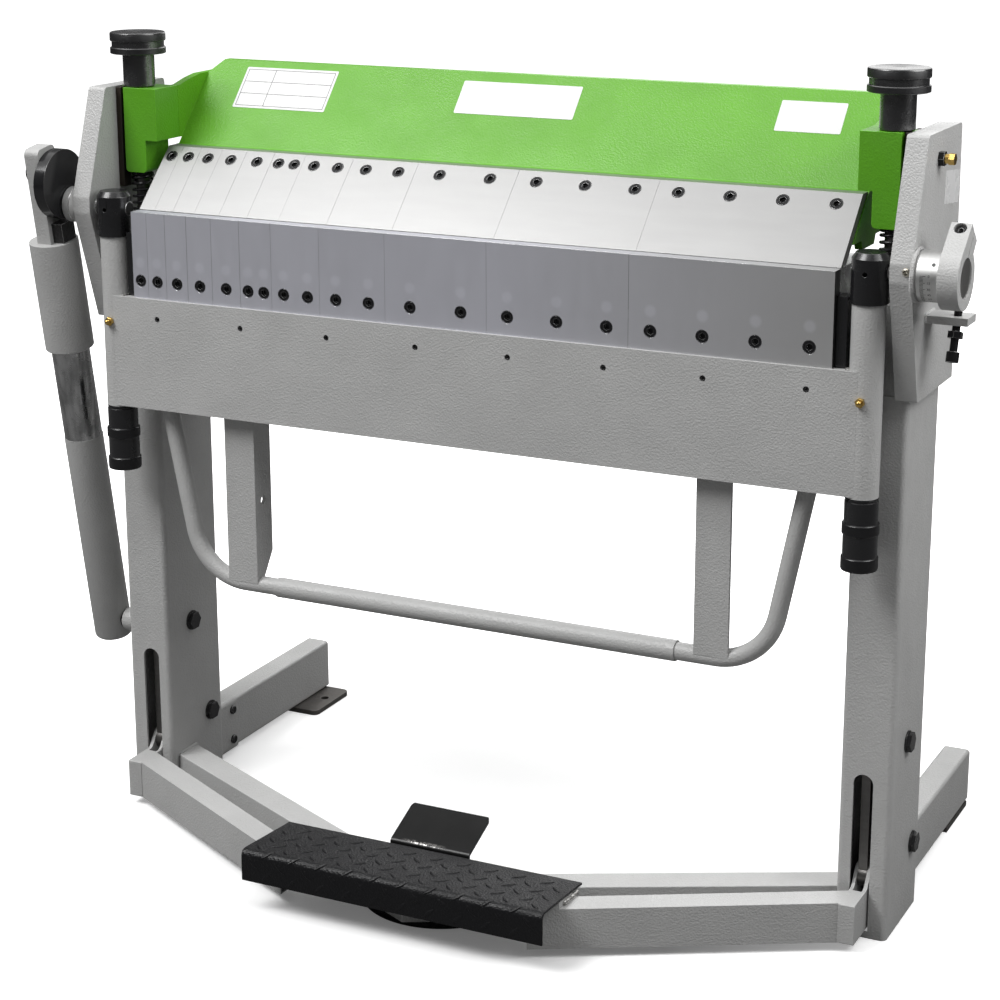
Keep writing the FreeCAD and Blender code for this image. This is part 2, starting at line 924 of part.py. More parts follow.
def on_line(p, q, y):
    """Height at y on the line through p and q."""
    return p[1] + (q[1] - p[1]) * (y - p[0]) / (q[0] - p[0])


def beam_section():
    """Outer and inner outlines of the box beam in the YZ plane."""
    seat_y = setback + foot_width
    nose_low = (seat_y + segment_rise - nose_drop, segment_top_z - nose_drop)
    nose_top = (seat_y + segment_rise, segment_top_z)
    slope_low = (slope_start_y, segment_top_z)
    slope_top = (beam_top_y, beam_top_z)
    under = nose_low[1]
    outer = (
        nose_low, nose_top, slope_low, slope_top, (beam_back_y, beam_top_z),
        (beam_back_y, beam_back_z), (beam_under_y, under),
    )
    slope = math.atan2(slope_top[1] - slope_low[1], slope_top[0] - slope_low[0])
    shift = (beam_wall * math.sin(slope), -beam_wall * math.cos(slope))
    front_a = (slope_low[0] + shift[0], slope_low[1] + shift[1])
    front_b = (slope_top[0] + shift[0], slope_top[1] + shift[1])
    nose_back = nose_low[0] + nose_thick * math.sqrt(2)
    inner_back = beam_back_y - beam_wall
    rear_run = (beam_back_y - beam_under_y, beam_back_z - under)
    rear_length = math.hypot(rear_run[0], rear_run[1])
    lift = beam_wall * rear_length / rear_run[0]
    rear_low = (beam_under_y, under + lift)
    rear_high = (beam_back_y, beam_back_z + lift)
    corner_y = nose_back + nose_inside
    floor_y = beam_under_y + (beam_wall - lift) * rear_run[0] / rear_run[1]
    inner = (
        (nose_back + beam_wall, under + beam_wall), (corner_y, under + nose_inside),
        (corner_y, on_line(front_a, front_b, corner_y)),
        (inner_back, on_line(front_a, front_b, inner_back)),
        (inner_back, on_line(rear_low, rear_high, inner_back)), (floor_y, under + beam_wall),
    )
    return outer, inner


def upper_beam():
    """Welded box beam with a sloping nose plate and closed ends."""
    outer, inner = beam_section()
    under = outer[0][1]
    beam = prism("X", outer, -beam_half, beam_half)
    inside = beam_half - rib_thick
    beam = beam.cut(prism("X", inner, -inside, inside))
    rib = (
        (rib_front_y, under), (rib_front_y + rib_chamfer, under - rib_drop),
        (rib_back_y - rib_chamfer, under - rib_drop), (rib_back_y, under),
    )
    rib_plate = prism("X", rib, inside, beam_half)
    cut_z = beam_top_z - corner_cut_z
    cut = (
        (beam_half - corner_cut_x, beam_top_z + 1), (beam_half + 1, beam_top_z + 1),
        (beam_half + 1, cut_z), (beam_half, cut_z), (beam_half - corner_cut_x, beam_top_z),
    )
    corner = prism("Y", cut, beam_top_y - corner_cut_run, beam_back_y + 1)
    block_back = block_front_y + block_depth
    plate = (
        (block_back, block_step_z), (beam_back_y, block_step_z), (beam_back_y, cut_z),
        (end_plate_top_y, cut_z - end_plate_top_gap),
        (end_plate_knee_y, beam_top_z - end_plate_knee_drop),
        (block_back + end_plate_foot_run, block_top_z), (block_back, block_top_z),
    )
    end_plate = prism("X", plate, beam_half, beam_half + end_plate_thick)
    beam = joined([beam] + both_sides(rib_plate) + both_sides(end_plate))
    for side in both_sides(corner):
        beam = beam.cut(side)
    for left, width, places in segment_places():
        for x in places:
            hole = rod("Z", segment_screw_d / 2, 0, 0, -clamp_screw_reach, 0)
            beam = beam.cut(oriented(hole, clamp_screw_point(x), clamp_normal()))
    return beam


def end_block():
    """Guide block with a stepped front and a tongue along its outer face."""
    back = block_front_y + block_depth
    profile = (
        (beam_half, block_step_z), (block_step_x, block_step_z),
        (block_step_x, block_low_z, block_corner_r), (block_outer_x, block_low_z, block_corner_r),
        (block_outer_x, block_top_z), (beam_half, block_top_z),
    )
    body = prism("Y", profile, block_front_y, back)
    tongue = block(
        block_outer_x, plate_inner_x - fit_gap, tongue_y - tongue_width / 2, tongue_y + tongue_width / 2,
        block_low_z + block_corner_r, block_top_z,
    )
    bore = rod("Z", spindle_r, rod_x, rod_y, block_low_z - 1, block_top_z + 1)
    return joined([body, tongue]).cut(bore)


def gib_strips():
    """Pair of strips on a side plate that guide the tongue of the end block."""
    x0 = rod_x + spring_mean_r + spring_wire / 2 + fit_gap
    strips = []
    for near, far in ((-1, 1), (1, -1)):
        edge = tongue_y + near * (tongue_width / 2 + fit_gap)
        outer = edge + near * gib_width
        y0 = min(edge, outer)
        strips.append(block(x0, plate_inner_x, y0, y0 + gib_width, gib_low_z, block_top_z))
    return strips


def gib_screw():
    """Brass adjusting screw of the slide and its lock nut."""
    shank = rod("X", gib_screw_r, gib_screw_y, gib_screw_z, plate_inner_x, gib_screw_end_x - gib_head_h)
    head = prism("Z", hexagon(gib_head_af), -gib_head_h, 0)
    head = oriented(head, vec(gib_screw_end_x, gib_screw_y, gib_screw_z), vec(1, 0, 0))
    nut = hex_nut(gib_nut_af, gib_nut_h, gib_screw_r)
    seat = vec(plate_outer_x, gib_screw_y, gib_screw_z)
    return joined([shank, head]), oriented(nut, seat, vec(1, 0, 0))


def pull_rod():
    """Spindle below the knob, flattened into a strap with a slotted eye."""
    top = block_top_z + knob_sleeve_h + knob_lower_h + knob_groove_h
    spindle = rod("Z", spindle_r, rod_x, rod_y, strap_top_z, top)
    eye_half = link_slot_run / 2
    eye_r = strap_depth / 2
    x0 = rod_x - strap_thick / 2
    y0 = rod_y - eye_r
    strap = block(x0, x0 + strap_thick, y0, y0 + strap_depth, link_pin_z, strap_top_z)
    taper = (
        (0, 0), (eye_r, -strap_shoulder_sunk), (eye_r, 0), (spindle_r, strap_shoulder_h),
        (0, strap_shoulder_h),
    )
    shoulder = turned(taper, vec(rod_x, rod_y, strap_top_z), vec(0, 0, 1))
    shoulder = shoulder.common(block(x0, x0 + strap_thick, y0, y0 + strap_depth, strap_top_z, top))
    eye = []
    slot = []
    for y in (rod_y - eye_half, rod_y + eye_half):
        eye.append(rod("X", eye_r, y, link_pin_z, x0, x0 + strap_thick))
        slot.append(rod("X", link_pin_r + link_slot_gap, y, link_pin_z, x0 - 1, x0 + strap_thick + 1))
    span = (rod_y - eye_half, rod_y + eye_half)
    eye.append(block(x0, x0 + strap_thick, span[0], span[1], link_pin_z - eye_r, link_pin_z + eye_r))
    half_slot = link_pin_r + link_slot_gap
    slot.append(block(
        x0 - 1, x0 + strap_thick + 1, span[0], span[1], link_pin_z - half_slot, link_pin_z + half_slot
    ))
    body = joined([spindle, strap, shoulder] + eye)
    for piece in slot:
        body = body.cut(piece)
    return body


def knob():
    """Handwheel of two discs over a sleeve, with a blind bore."""
    low = block_top_z + fit_gap
    neck = block_top_z + knob_sleeve_h
    groove_low = neck + knob_lower_h
    groove_top = groove_low + knob_groove_h
    top = groove_top + knob_disc_h
    bore = spindle_r + running_gap
    roof = groove_top + fit_gap
    profile = (
        (bore, low), (knob_sleeve_r - knob_sleeve_chamfer, low),
        (knob_sleeve_r, low + knob_sleeve_chamfer), (knob_sleeve_r, neck),
        (knob_r - knob_lower_chamfer, neck), (knob_r, neck + knob_lower_chamfer), (knob_r, groove_low),
        (knob_r - knob_groove_depth, groove_low), (knob_r - knob_groove_depth, groove_top),
        (knob_r, groove_top), (knob_r, top - knob_top_chamfer), (knob_r - knob_top_chamfer, top),
        (0, top), (0, roof), (bore, roof),
    )
    return turned(profile, vec(rod_x, rod_y, 0), vec(0, 0, 1))


def return_spring():
    """Compression spring between the bed and the end block, ends ground flat."""
    low = spring_seat_z
    height = block_low_z - fit_gap - low
    pitch = height / spring_turns
    coil = Part.makeHelix(pitch, height + pitch, spring_mean_r)
    half = spring_wire / 2
    corners = [
        vec(spring_mean_r - half, 0, -half), vec(spring_mean_r + half, 0, -half),
        vec(spring_mean_r + half, 0, half), vec(spring_mean_r - half, 0, half),
    ]
    section = Part.makePolygon(corners + corners[:1])
    body = Part.Wire(coil).makePipeShell([section], True, True)
    body.translate(vec(rod_x, rod_y, low - pitch / 2))
    reach = spring_mean_r + spring_wire
    kept = block(rod_x - reach, rod_x + reach, rod_y - reach, rod_y + reach, low, low + height)
    return body.common(kept)


def side_plate():
    """Thick hinge cheek with a forward nose round the bend axis."""
    profile = (
        (plate_foot_front_y, plate_low_z, plate_foot_r), (plate_foot_back_y, plate_low_z),
        (plate_top_back_y, plate_top_z, plate_top_r), (plate_top_front_y, plate_top_z, plate_top_r),
        (plate_nose_y, bend_height + plate_nose_rise, plate_nose_r),
        (plate_nose_y, bend_height - plate_nose_drop, plate_nose_r),
    )
    plate = prism("X", profile, plate_inner_x, plate_outer_x)
    bore = rod("X", journal_r + bush_wall, 0, bend_height, plate_inner_x, plate_outer_x)
    gib_hole = rod("X", gib_screw_r, gib_screw_y, gib_screw_z, plate_inner_x, plate_outer_x)
    return plate.cut(bore).cut(gib_hole)


def hinge_bush(flange_r):
    """Journal bush with a conical flange on the outer face of the cheek."""
    wall = journal_r + bush_wall
    bore = journal_r + running_gap
    flange_end = plate_outer_x + bush_flange_h
    profile = (
        (bore, plate_inner_x), (wall, plate_inner_x), (wall, plate_outer_x),
        (bush_flange_low_r, plate_outer_x), (flange_r, flange_end - bush_flange_rim),
        (flange_r, flange_end),
        (bore, flange_end),
    )
    return turned(profile, vec(0, 0, bend_height), vec(1, 0, 0))


def bed_beam():
    """Welded box under the jaw, lower at both ends for the return springs."""
    outer = block(-plate_inner_x, plate_inner_x, bed_front_y, bed_back_y, plate_low_z, bed_top_z)
    front = bed_front_y + bed_wall
    back = bed_back_y - bed_wall
    middle = jaw_half - bed_wall
    beam = outer.cut(block(-middle, middle, front, back, plate_low_z + bed_wall, bed_top_z - bed_wall))
    end_step = block(
        jaw_half, plate_inner_x + 1, bed_front_y - 1, bed_back_y + 1, spring_seat_z, bed_top_z + 1
    )
    end_space = block(
        jaw_half, plate_inner_x, front, back, plate_low_z + bed_wall, spring_seat_z - bed_wall
    )
    rod_hole = rod("Z", spindle_r + bed_rod_gap, rod_x, rod_y, plate_low_z - 1, spring_seat_z + 1)
    window_z = bend_height - window_drop
    window = rod("X", window_r, (front + back) / 2, window_z, middle - 1, jaw_half + 1)
    for shape in (end_step, end_space, rod_hole, window):
        for side in both_sides(shape):
            beam = beam.cut(side)
    return beam


def lower_jaw():
    """Bed bar whose nose reaches forward to the bend line."""
    section = (
        (jaw_front_y, jaw_top_z), (jaw_depth, jaw_top_z), (jaw_depth, bed_top_z),
        (bed_front_y, bed_top_z), (bed_front_y, jaw_low_z), (bed_front_y - jaw_heel_run, jaw_low_z),
        (jaw_front_y, jaw_top_z - jaw_nose_h),
    )
    return prism("X", section, -jaw_half, jaw_half)


def column():
    """Capped tube with a round-topped slot for the pedal lever."""
    outer = rectangle(column_inner_x, column_outer_x, column_front_y, column_back_y, column_corner_r)
    tube = hollow_prism("Z", outer, column_wall, 0, plate_low_z - cap_thick)
    half = slot_width / 2
    front = column_front_y - 1
    back = column_front_y + slot_depth
    slot = block(lever_x - half, lever_x + half, front, back, slot_low_z, slot_top_z - half)
    arch = rod("Y", half, lever_x, slot_top_z - half, front, back)
    tube = tube.cut(slot).cut(arch)
    for y, z in ((pedal_pivot_y, pedal_pivot_z), (guide_bolt_y, guide_bolt_z)):
        tube = tube.cut(rod("X", pivot_bolt_r, y, z, column_inner_x - 1, column_outer_x + 1))
    cap = block(
        column_inner_x, column_outer_x, column_front_y, column_back_y, plate_low_z - cap_thick, plate_low_z
    )
    hole_low = plate_low_z - cap_thick - 1
    cap = cap.cut(rod("Z", spindle_r + bed_rod_gap, rod_x, rod_y, hole_low, plate_low_z + 1))
    return joined([tube, cap])


def frame_bolts():
    """Pedal pivot bolts and guide bolts, heads to the right on both columns."""
    solids = []
    for start in (-column_outer_x, column_inner_x):
        end = start + column_width
        for y, z, has_nut in (
            (pedal_pivot_y, pedal_pivot_z, True), (guide_bolt_y, guide_bolt_z, False)
        ):
            low = start - bolt_end_out if has_nut else start
            shank = rod("X", pivot_bolt_r, y, z, low, end)
            head = oriented(prism("Z", hexagon(bolt_af), 0, bolt_head_h), vec(end, y, z), vec(1, 0, 0))
            washer = rod("X", bolt_washer_r, y, z, end, end + bolt_washer_h)
            solids.append(joined([shank, washer, head]))
            if has_nut:
                nut = hex_nut(bolt_af, bolt_nut_h, pivot_bolt_r)
                solids.append(oriented(nut, vec(start, y, z), vec(-1, 0, 0)))
    return solids


def rear_foot():
    outer = rectangle(
        foot_inner_x, foot_outer_x, floor_plate_thick, floor_plate_thick + foot_height, foot_corner_r
    )
    return foot_holes(hollow_prism("Y", outer, foot_wall, column_back_y, foot_end_y))


def foot_bracket():
    """Sleeve round the foot where it meets the column."""
    low = floor_plate_thick
    outer = rectangle(
        bracket_inner_x, foot_outer_x + bracket_wall, low - bracket_wall,
        low + foot_height + bracket_wall, foot_corner_r + bracket_wall,
    )
    sleeve = hollow_prism("Y", outer, bracket_wall, column_back_y, column_back_y + bracket_length)
    return foot_holes(sleeve)


def foot_holes(shape):
    """Screw holes through the inner wall of the foot and its sleeve."""
    end = foot_inner_x + foot_wall + 1
    for z in foot_screw_z:
        shape = shape.cut(rod("X", foot_screw_r, foot_screw_y, z, bracket_inner_x - 1, end))
    return shape


def foot_screws():
    """Two cap screws through the inner wall of each bracket."""
    profile = (
        (0, -foot_screw_length), (foot_screw_r, -foot_screw_length), (foot_screw_r, 0),
        (foot_screw_head_r, 0), (foot_screw_head_r, foot_screw_head_h - foot_screw_chamfer),
        (foot_screw_head_r - foot_screw_chamfer, foot_screw_head_h), (0, foot_screw_head_h),
    )
    screw = turned(profile, vec(0, 0, 0), vec(0, 0, 1))
    return [oriented(screw, vec(bracket_inner_x, foot_screw_y, z), vec(-1, 0, 0)) for z in foot_screw_z]


def floor_plate():
    y1 = floor_plate_back_y
    y0 = y1 - floor_plate_length
    outer = (
        (floor_plate_inner_x, y0, floor_plate_corner_r), (foot_outer_x, y0), (foot_outer_x, y1),
        (floor_plate_inner_x, y1, floor_plate_corner_r),
    )
    plate = prism("Z", outer, 0, floor_plate_thick)
    return plate.cut(rod("Z", floor_bolt_d / 2, floor_bolt_x, floor_bolt_y, -1, floor_plate_thick + 1))


def chevron(half, y_end, slope, width, end_x=0.0):
    """Top view of one V-shaped leg from |X| = half in to |X| = end_x."""
    depth = width * math.hypot(1, slope)
    y_in = y_end - slope * (half - end_x)
    return (
        (half, y_end - depth / 2), (half, y_end + depth / 2), (end_x, y_in + depth / 2),
        (end_x, y_in - depth / 2),
    )


def base_spreader():
    """Square tube in a forward V that ties the two columns at the floor."""
    slope = (spreader_y - spreader_apex_y) / column_inner_x
    low = spreader_top_z - spreader_height
    wall = spreader_wall
    outer = chevron(column_inner_x, spreader_y, slope, spreader_width)
    inner = chevron(column_inner_x, spreader_y, slope, spreader_width - 2 * wall)
    leg = prism("Z", outer, low, spreader_top_z)
    space = prism("Z", inner, low + wall, spreader_top_z - wall)
    body = joined(both_sides(leg))
    for side in both_sides(space):
        body = body.cut(side)
    return body


def lever():
    """Pedal lever with a forked lug for the pull rod and a pivot eye."""
    x0 = lever_inner_x
    x1 = lever_outer_x
    lug_top = link_pin_z + lever_lug_rise
    profile = (
        (lever_front_y, lever_low_z, lever_front_r), (lever_knee_y, lever_low_z, lever_knee_r),
        (pedal_pivot_y + lever_eye_low[0], pedal_pivot_z + lever_eye_low[1]),
        (pedal_pivot_y + lever_eye_high[0], pedal_pivot_z + lever_eye_high[1]),
        (lever_knee_y, lug_top, lever_lug_r), (lever_lug_y, lug_top, lever_lug_r),
        (lever_lug_foot_y, lever_top_z, lever_lug_r), (lever_front_y, lever_top_z, lever_front_r),
    )
    plate = prism("X", profile, x0, x1)
    eye = rod("X", lever_eye_r, pedal_pivot_y, pedal_pivot_z, x0, x1)
    half = strap_thick / 2 + fit_gap
    fork = block(rod_x - half, rod_x + half, fork_front_y, fork_back_y, fork_low_z, lug_top + 50)
    body = joined([plate, eye])
    bore = rod("X", pivot_bolt_r + running_gap, pedal_pivot_y, pedal_pivot_z, x0 - 1, x1 + 1)
    pin_hole = rod("X", link_pin_r, link_pin_y, link_pin_z, x0 - 1, x1 + 1)
    return body.cut(fork).cut(bore).cut(pin_hole)


def pedal_arm():
    """Lever, the slanting tube and the wedge on it that carries the tread."""
    x0 = lever_inner_x
    bar_y = pedal_bar_y + (x0 - column_inner_x) * pedal_bar_slope
    space_width = pedal_bar_width - 2 * pedal_bar_wall
    outer = chevron(x0, bar_y, pedal_bar_slope, pedal_bar_width, pedal_bar_end_x)
    inner = chevron(x0, bar_y, pedal_bar_slope, space_width, pedal_bar_end_x)
    bar = prism("Z", outer, lever_low_z, lever_top_z)
    bar = bar.cut(prism("Z", inner, lever_low_z + pedal_bar_wall, lever_top_z - pedal_bar_wall))
    under = (
        (tread_back_y, lever_top_z), (tread_back_y, tread_under_z(tread_back_y)),
        (tread_front_y, tread_under_z(tread_front_y)), (tread_front_y, lever_top_z),
    )
    seat = prism("X", under, pedal_bar_end_x, tread_half - tread_seat_inset)
    seat = seat.common(prism("Z", outer, lever_top_z, lever_top_z + lever_height))
    return joined([lever(), bar, seat])


def lever_pin():
    return rod("X", link_pin_r, link_pin_y, link_pin_z, lever_inner_x, lever_outer_x)


def tread_top_z(y):
    return tread_back_z + (tread_back_y - y) * tread_rise


def tread_under_z(y):
    return tread_top_z(y) - tread_thick / math.cos(math.radians(tread_slope))


def tread():
    """Bent foot plate that rises to the front, with a bent-down lip."""
    front = tread_front_y
    inside = front + tread_thick
    top = tread_top_z(front)
    section = (
        (tread_back_y, tread_under_z(tread_back_y)), (tread_back_y, tread_back_z),
        (front, top, tread_bend_r + tread_thick), (front, top - tread_lip), (inside, top - tread_lip),
        (inside, tread_under_z(inside), tread_bend_r),
    )
    return prism("X", section, -tread_half, tread_half)


def release_pedal():
    """Small sloping foot plate on a leg, with the pivot pin at its foot."""
    leg_y = release_front_y
    slope = math.radians(release_slope)
    t = release_thick
    back_y = leg_y + release_length * math.cos(slope)
    back_z = release_bend_z + release_length * math.sin(slope)
    end_y = back_y + t * math.sin(slope)
    inside_z = release_bend_z + t * math.tan(slope) - t / math.cos(slope)
    section = (
        (leg_y, release_pivot_z), (leg_y, release_bend_z, release_bend_r + t), (back_y, back_z),
        (end_y, back_z - t * math.cos(slope)), (leg_y + t, inside_z, release_bend_r),
        (leg_y + t, release_pivot_z),
    )
    plan = (
        (-release_half, leg_y), (release_half, leg_y), (release_half, end_y, release_corner_r),
        (-release_half, end_y, release_corner_r),
    )
    plate = prism("X", section, -release_half, release_half)
    plate = plate.common(prism("Z", plan, release_pivot_z, back_z))
    pin = rod("X", release_pin_r, release_pin_y, release_pivot_z, -latch_ear_end(), latch_ear_end())
    body = joined([plate, pin])
    body.translate(vec(latch_x, 0, 0))
    return body


def latch_ear_end():
    return release_half + latch_ear_gap + latch_ear_thick


def latch_base():
    """Floor plate under the V with two ears for the release pedal pin."""
    half = latch_base_half
    low = latch_low_z
    back = release_front_y + latch_back_run
    side_front = vec(half, latch_front_y + latch_side_run, low)
    front = vec(0, latch_front_y, low)
    other_front = vec(-half, latch_front_y + latch_side_run, low)
    edges = [
        Part.Arc(side_front, front, other_front).toShape(),
        Part.makeLine(other_front, vec(-half, back, low)),
        Part.makeLine(vec(-half, back, low), vec(half, back, low)),
        Part.makeLine(vec(half, back, low), side_front),
    ]
    plate = Part.Face(Part.Wire(edges)).extrude(vec(0, 0, latch_base_thick))
    ear_top = release_pivot_z + latch_ear_rise
    ear_profile = (
        (release_pin_y - latch_ear_front, low), (release_pin_y + latch_ear_back, low),
        (release_pin_y + latch_ear_front, ear_top, latch_ear_r),
        (release_pin_y - latch_ear_front, ear_top, latch_ear_r),
    )
    ears = both_sides(prism("X", ear_profile, latch_ear_end() - latch_ear_thick, latch_ear_end()))
    for ear in ears:
        ear.translate(vec(latch_x, 0, 0))
    bore = release_pin_r + running_gap
    hole = rod("X", bore, release_pin_y, release_pivot_z, -half - 1, half + 1)
    return joined([plate] + ears).cut(hole)


def angle_ring():
    return pipe("X", ring_r, shaft_r, 0, bend_height, ring_start_x, ring_start_x + ring_width)


def collar_point(u, n):
    """YZ point from the collar's own axes, which lean with the lug."""
    lean = math.radians(collar_lean)
    y = u * math.sin(lean) - n * math.cos(lean)
    z = bend_height + u * math.cos(lean) + n * math.sin(lean)
    return (y, z)


def collar_tangent(u, n):
    """Point where a line from (u, n) touches the ring of the collar."""
    angle = math.atan2(n, u) + math.acos(collar_r / math.hypot(u, n))
    return (collar_r * math.cos(angle), collar_r * math.sin(angle))


def stop_collar():
    """Clamping collar with a squared lug, split through the lug."""
    x0 = collar_start_x
    x1 = collar_end_x
    corners = (
        collar_tangent(lug_reach, lug_front), (lug_reach, lug_front), (lug_back_reach, lug_back),
        (lug_heel, lug_back), (0.0, 0.0),
    )
    lug = prism("X", [collar_point(u, n) for u, n in corners], x0, x1)
    ring = rod("X", collar_r, 0, bend_height, x0, x1)
    slit_corners = rectangle(
        collar_slit_start, lug_reach + 1, collar_slit_level, collar_slit_level + collar_slit
    )
    slit = prism("X", [collar_point(u, n) for u, n, r in slit_corners], x0 - 1, x1 + 1)
    bore = rod("X", shaft_r + running_gap, 0, bend_height, x0 - 1, x1 + 1)
    collar = joined([ring, lug]).cut(bore).cut(slit)
    seat, along_screw = collar_screw_place()
    head_hole = rod("Z", collar_counterbore_r, 0, 0, 0, lug_reach)
    shank_hole = rod("Z", collar_screw_d / 2, 0, 0, -collar_screw_hole_length, 1)
    for hole in (head_hole, shank_hole):
        collar = collar.cut(oriented(hole, seat, along_screw))
    return collar


def collar_screw_place():
    y, z = collar_point(collar_screw_reach, collar_screw_seat)
    base_y, base_z = collar_point(collar_screw_reach, 0)
    direction = vec(0, y - base_y, z - base_z)
    direction.normalize()
    return vec(collar_start_x + collar_width / 2, y, z), direction


def collar_screw():
    seat, direction = collar_screw_place()
    screw = socket_screw(
        collar_screw_head_d, collar_screw_head_h, collar_screw_d, collar_screw_length, collar_screw_hex
    )
    return oriented(screw, seat, direction)


def stop_axis():
    lean = math.radians(stop_bolt_lean)
    return vec(0, math.sin(lean), math.cos(lean))


def stop_bar():
    """Flat bar on the right cheek with a slanted hole for the stop bolt."""
    z0 = stop_bar_top_z - stop_bar_thick
    flat = block(
        plate_outer_x, stop_bar_end_x, stop_bar_front_y, stop_bar_front_y + stop_bar_width,
        z0, stop_bar_top_z,
    )
    hole = oriented(rod("Z", stop_bolt_r + running_gap, 0, 0, -30, 30), stop_centre(), stop_axis())
    return flat.cut(hole)


def stop_centre():
    return vec(stop_bolt_x, stop_bolt_y, stop_bar_top_z - stop_bar_thick / 2)


def stop_bolt():
    """Socket screw below the bar with its rounded tip above it."""
    profile = (
        (0, stop_head_low), (stop_head_r, stop_head_low), (stop_head_r, stop_head_top),
        (stop_bolt_r, stop_head_top), (stop_bolt_r, stop_bolt_tip - stop_bolt_chamfer),
        (stop_bolt_r - stop_bolt_chamfer, stop_bolt_tip), (0, stop_bolt_tip),
    )
    bolt = turned(profile, vec(0, 0, 0), vec(0, 0, 1))
    recess = prism("Z", hexagon(stop_hex), stop_head_low - 1, stop_head_low + stop_hex_depth)
    return oriented(bolt.cut(recess), stop_centre(), stop_axis())


def stop_nut():
    nut = hex_nut(stop_nut_af, stop_nut_h, stop_bolt_r)
    return oriented(nut, stop_centre().add(stop_axis() * stop_nut_low), stop_axis())


def pointer_hole():
    return rod("Y", pointer_r, pointer_x, pointer_z, plate_nose_y - 1, plate_nose_y + pointer_length)


def pointer_screw():
    """Cross-head screw in the nose of the right cheek."""
    profile = (
        (0, -pointer_length), (pointer_r, -pointer_length), (pointer_r, 0), (pointer_head_r, 0),
        (pointer_head_r, pointer_rim_h), (pointer_top_r, pointer_head_h), (0, pointer_head_h),
    )
    head = turned(profile, vec(0, 0, 0), vec(0, 0, 1))
    long = pointer_cross_half
    wide = pointer_cross_width
    for x, y in ((long, wide), (wide, long)):
        head = head.cut(block(-x, x, -y, y, pointer_cross_floor, pointer_head_h + 1))
    return oriented(head, vec(pointer_x, plate_nose_y, pointer_z), vec(0, -1, 0))


def strut_run():
    """Vector from the crank pin to the lower bolt of the balance strut."""
    return vec(0, anchor_y - crank_pin_y, anchor_z - crank_pin_z)


def on_strut(shape):
    """Shape made along +Z from the crank pin, laid on the strut's axis."""
    direction = strut_run()
    direction.normalize()
    return oriented(shape, vec(strut_axis_x, crank_pin_y, crank_pin_z), direction)


def crank_disc():
    """Disc on the left shaft end with the pin that carries the strut."""
    x1 = crank_face_x
    x0 = x1 - crank_thick
    disc = rod("X", crank_disc_r, crank_disc_y, crank_disc_z, x0, x1)
    pin_end = x0 - head_bar_thick - crank_pin_out
    pin = rod("X", crank_pin_r, crank_pin_y, crank_pin_z, pin_end, x0)
    washer = rod("X", crank_washer_r, crank_pin_y, crank_pin_z, pin_end, pin_end + crank_washer_h)
    return joined([disc, pin, washer])


def damper_head():
    """Grey bar on the crank pin with a neck, a cap and the guide sleeve."""
    side = head_bar_thick / 2
    corners = (
        (head_bar_front, -head_bar_top, head_bar_corner_r),
        (-head_bar_back, -head_bar_top, head_bar_corner_r),
        (-head_bar_back, cap_distance), (head_bar_front, cap_distance),
    )
    bar = prism("X", corners, -side, side)
    neck_end = crank_face_x - fit_gap - strut_axis_x
    neck = block(side, neck_end, -neck_half, neck_half, neck_distance, cap_distance)
    bore = balance_rod_r + running_gap
    low = cap_distance + sleeve_length
    floor = cap_distance + sleeve_floor
    profile = (
        (0, cap_distance), (sleeve_r, cap_distance), (sleeve_r, low - sleeve_chamfer),
        (sleeve_r - sleeve_chamfer, low), (bore, low), (bore, floor), (0, floor),
    )
    sleeve = turned(profile, vec(0, 0, 0), vec(0, 0, 1))
    body = on_strut(joined([bar, neck, sleeve]))
    hole_r = crank_pin_r + running_gap
    hole_start = strut_axis_x - side - 1
    return body.cut(rod("X", hole_r, crank_pin_y, crank_pin_z, hole_start, hole_start + head_bar_thick + 2))


def damper_tube():
    """Bright rod and painted tube, with the lower bolt through the tube."""
    start = cap_distance + sleeve_length - rod_engaged
    end = strut_run().Length + tube_end_past_anchor
    r = balance_tube_r
    profile = (
        (0, start), (balance_rod_r, start), (balance_rod_r, tube_top_distance), (r, tube_top_distance),
        (r, end - tube_taper[0]), (r - tube_taper_r[0], end - tube_taper[1]),
        (r - tube_taper_r[1], end), (0, end),
    )
    body = on_strut(turned(profile, vec(0, 0, 0), vec(0, 0, 1)))
    outer = strut_axis_x - r - strut_bolt_out
    bolt = rod("X", strut_bolt_r, anchor_y, anchor_z, outer, anchor_face_x - strut_bolt_gap)
    head = rod("X", strut_bolt_head_r, anchor_y, anchor_z, outer, outer + strut_bolt_head_h)
    return joined([body, bolt, head])


def damper_anchor():
    return rod("X", anchor_boss_r, anchor_y, anchor_z, anchor_face_x, -column_outer_x)


def save(name, solids):
    """Write one node, as one solid or a group of separate solids."""
    if not isinstance(solids, list):
        solids = [solids]
    separate = [solid for shape in solids for solid in shape.Solids]
    shape = separate[0] if len(separate) == 1 else Part.makeCompound(separate)
    shape.exportStep("parts/" + name + ".step")


def save_pair(name, right):
    save(name + "_right", right)
    save(name + "_left", mirrored(right))


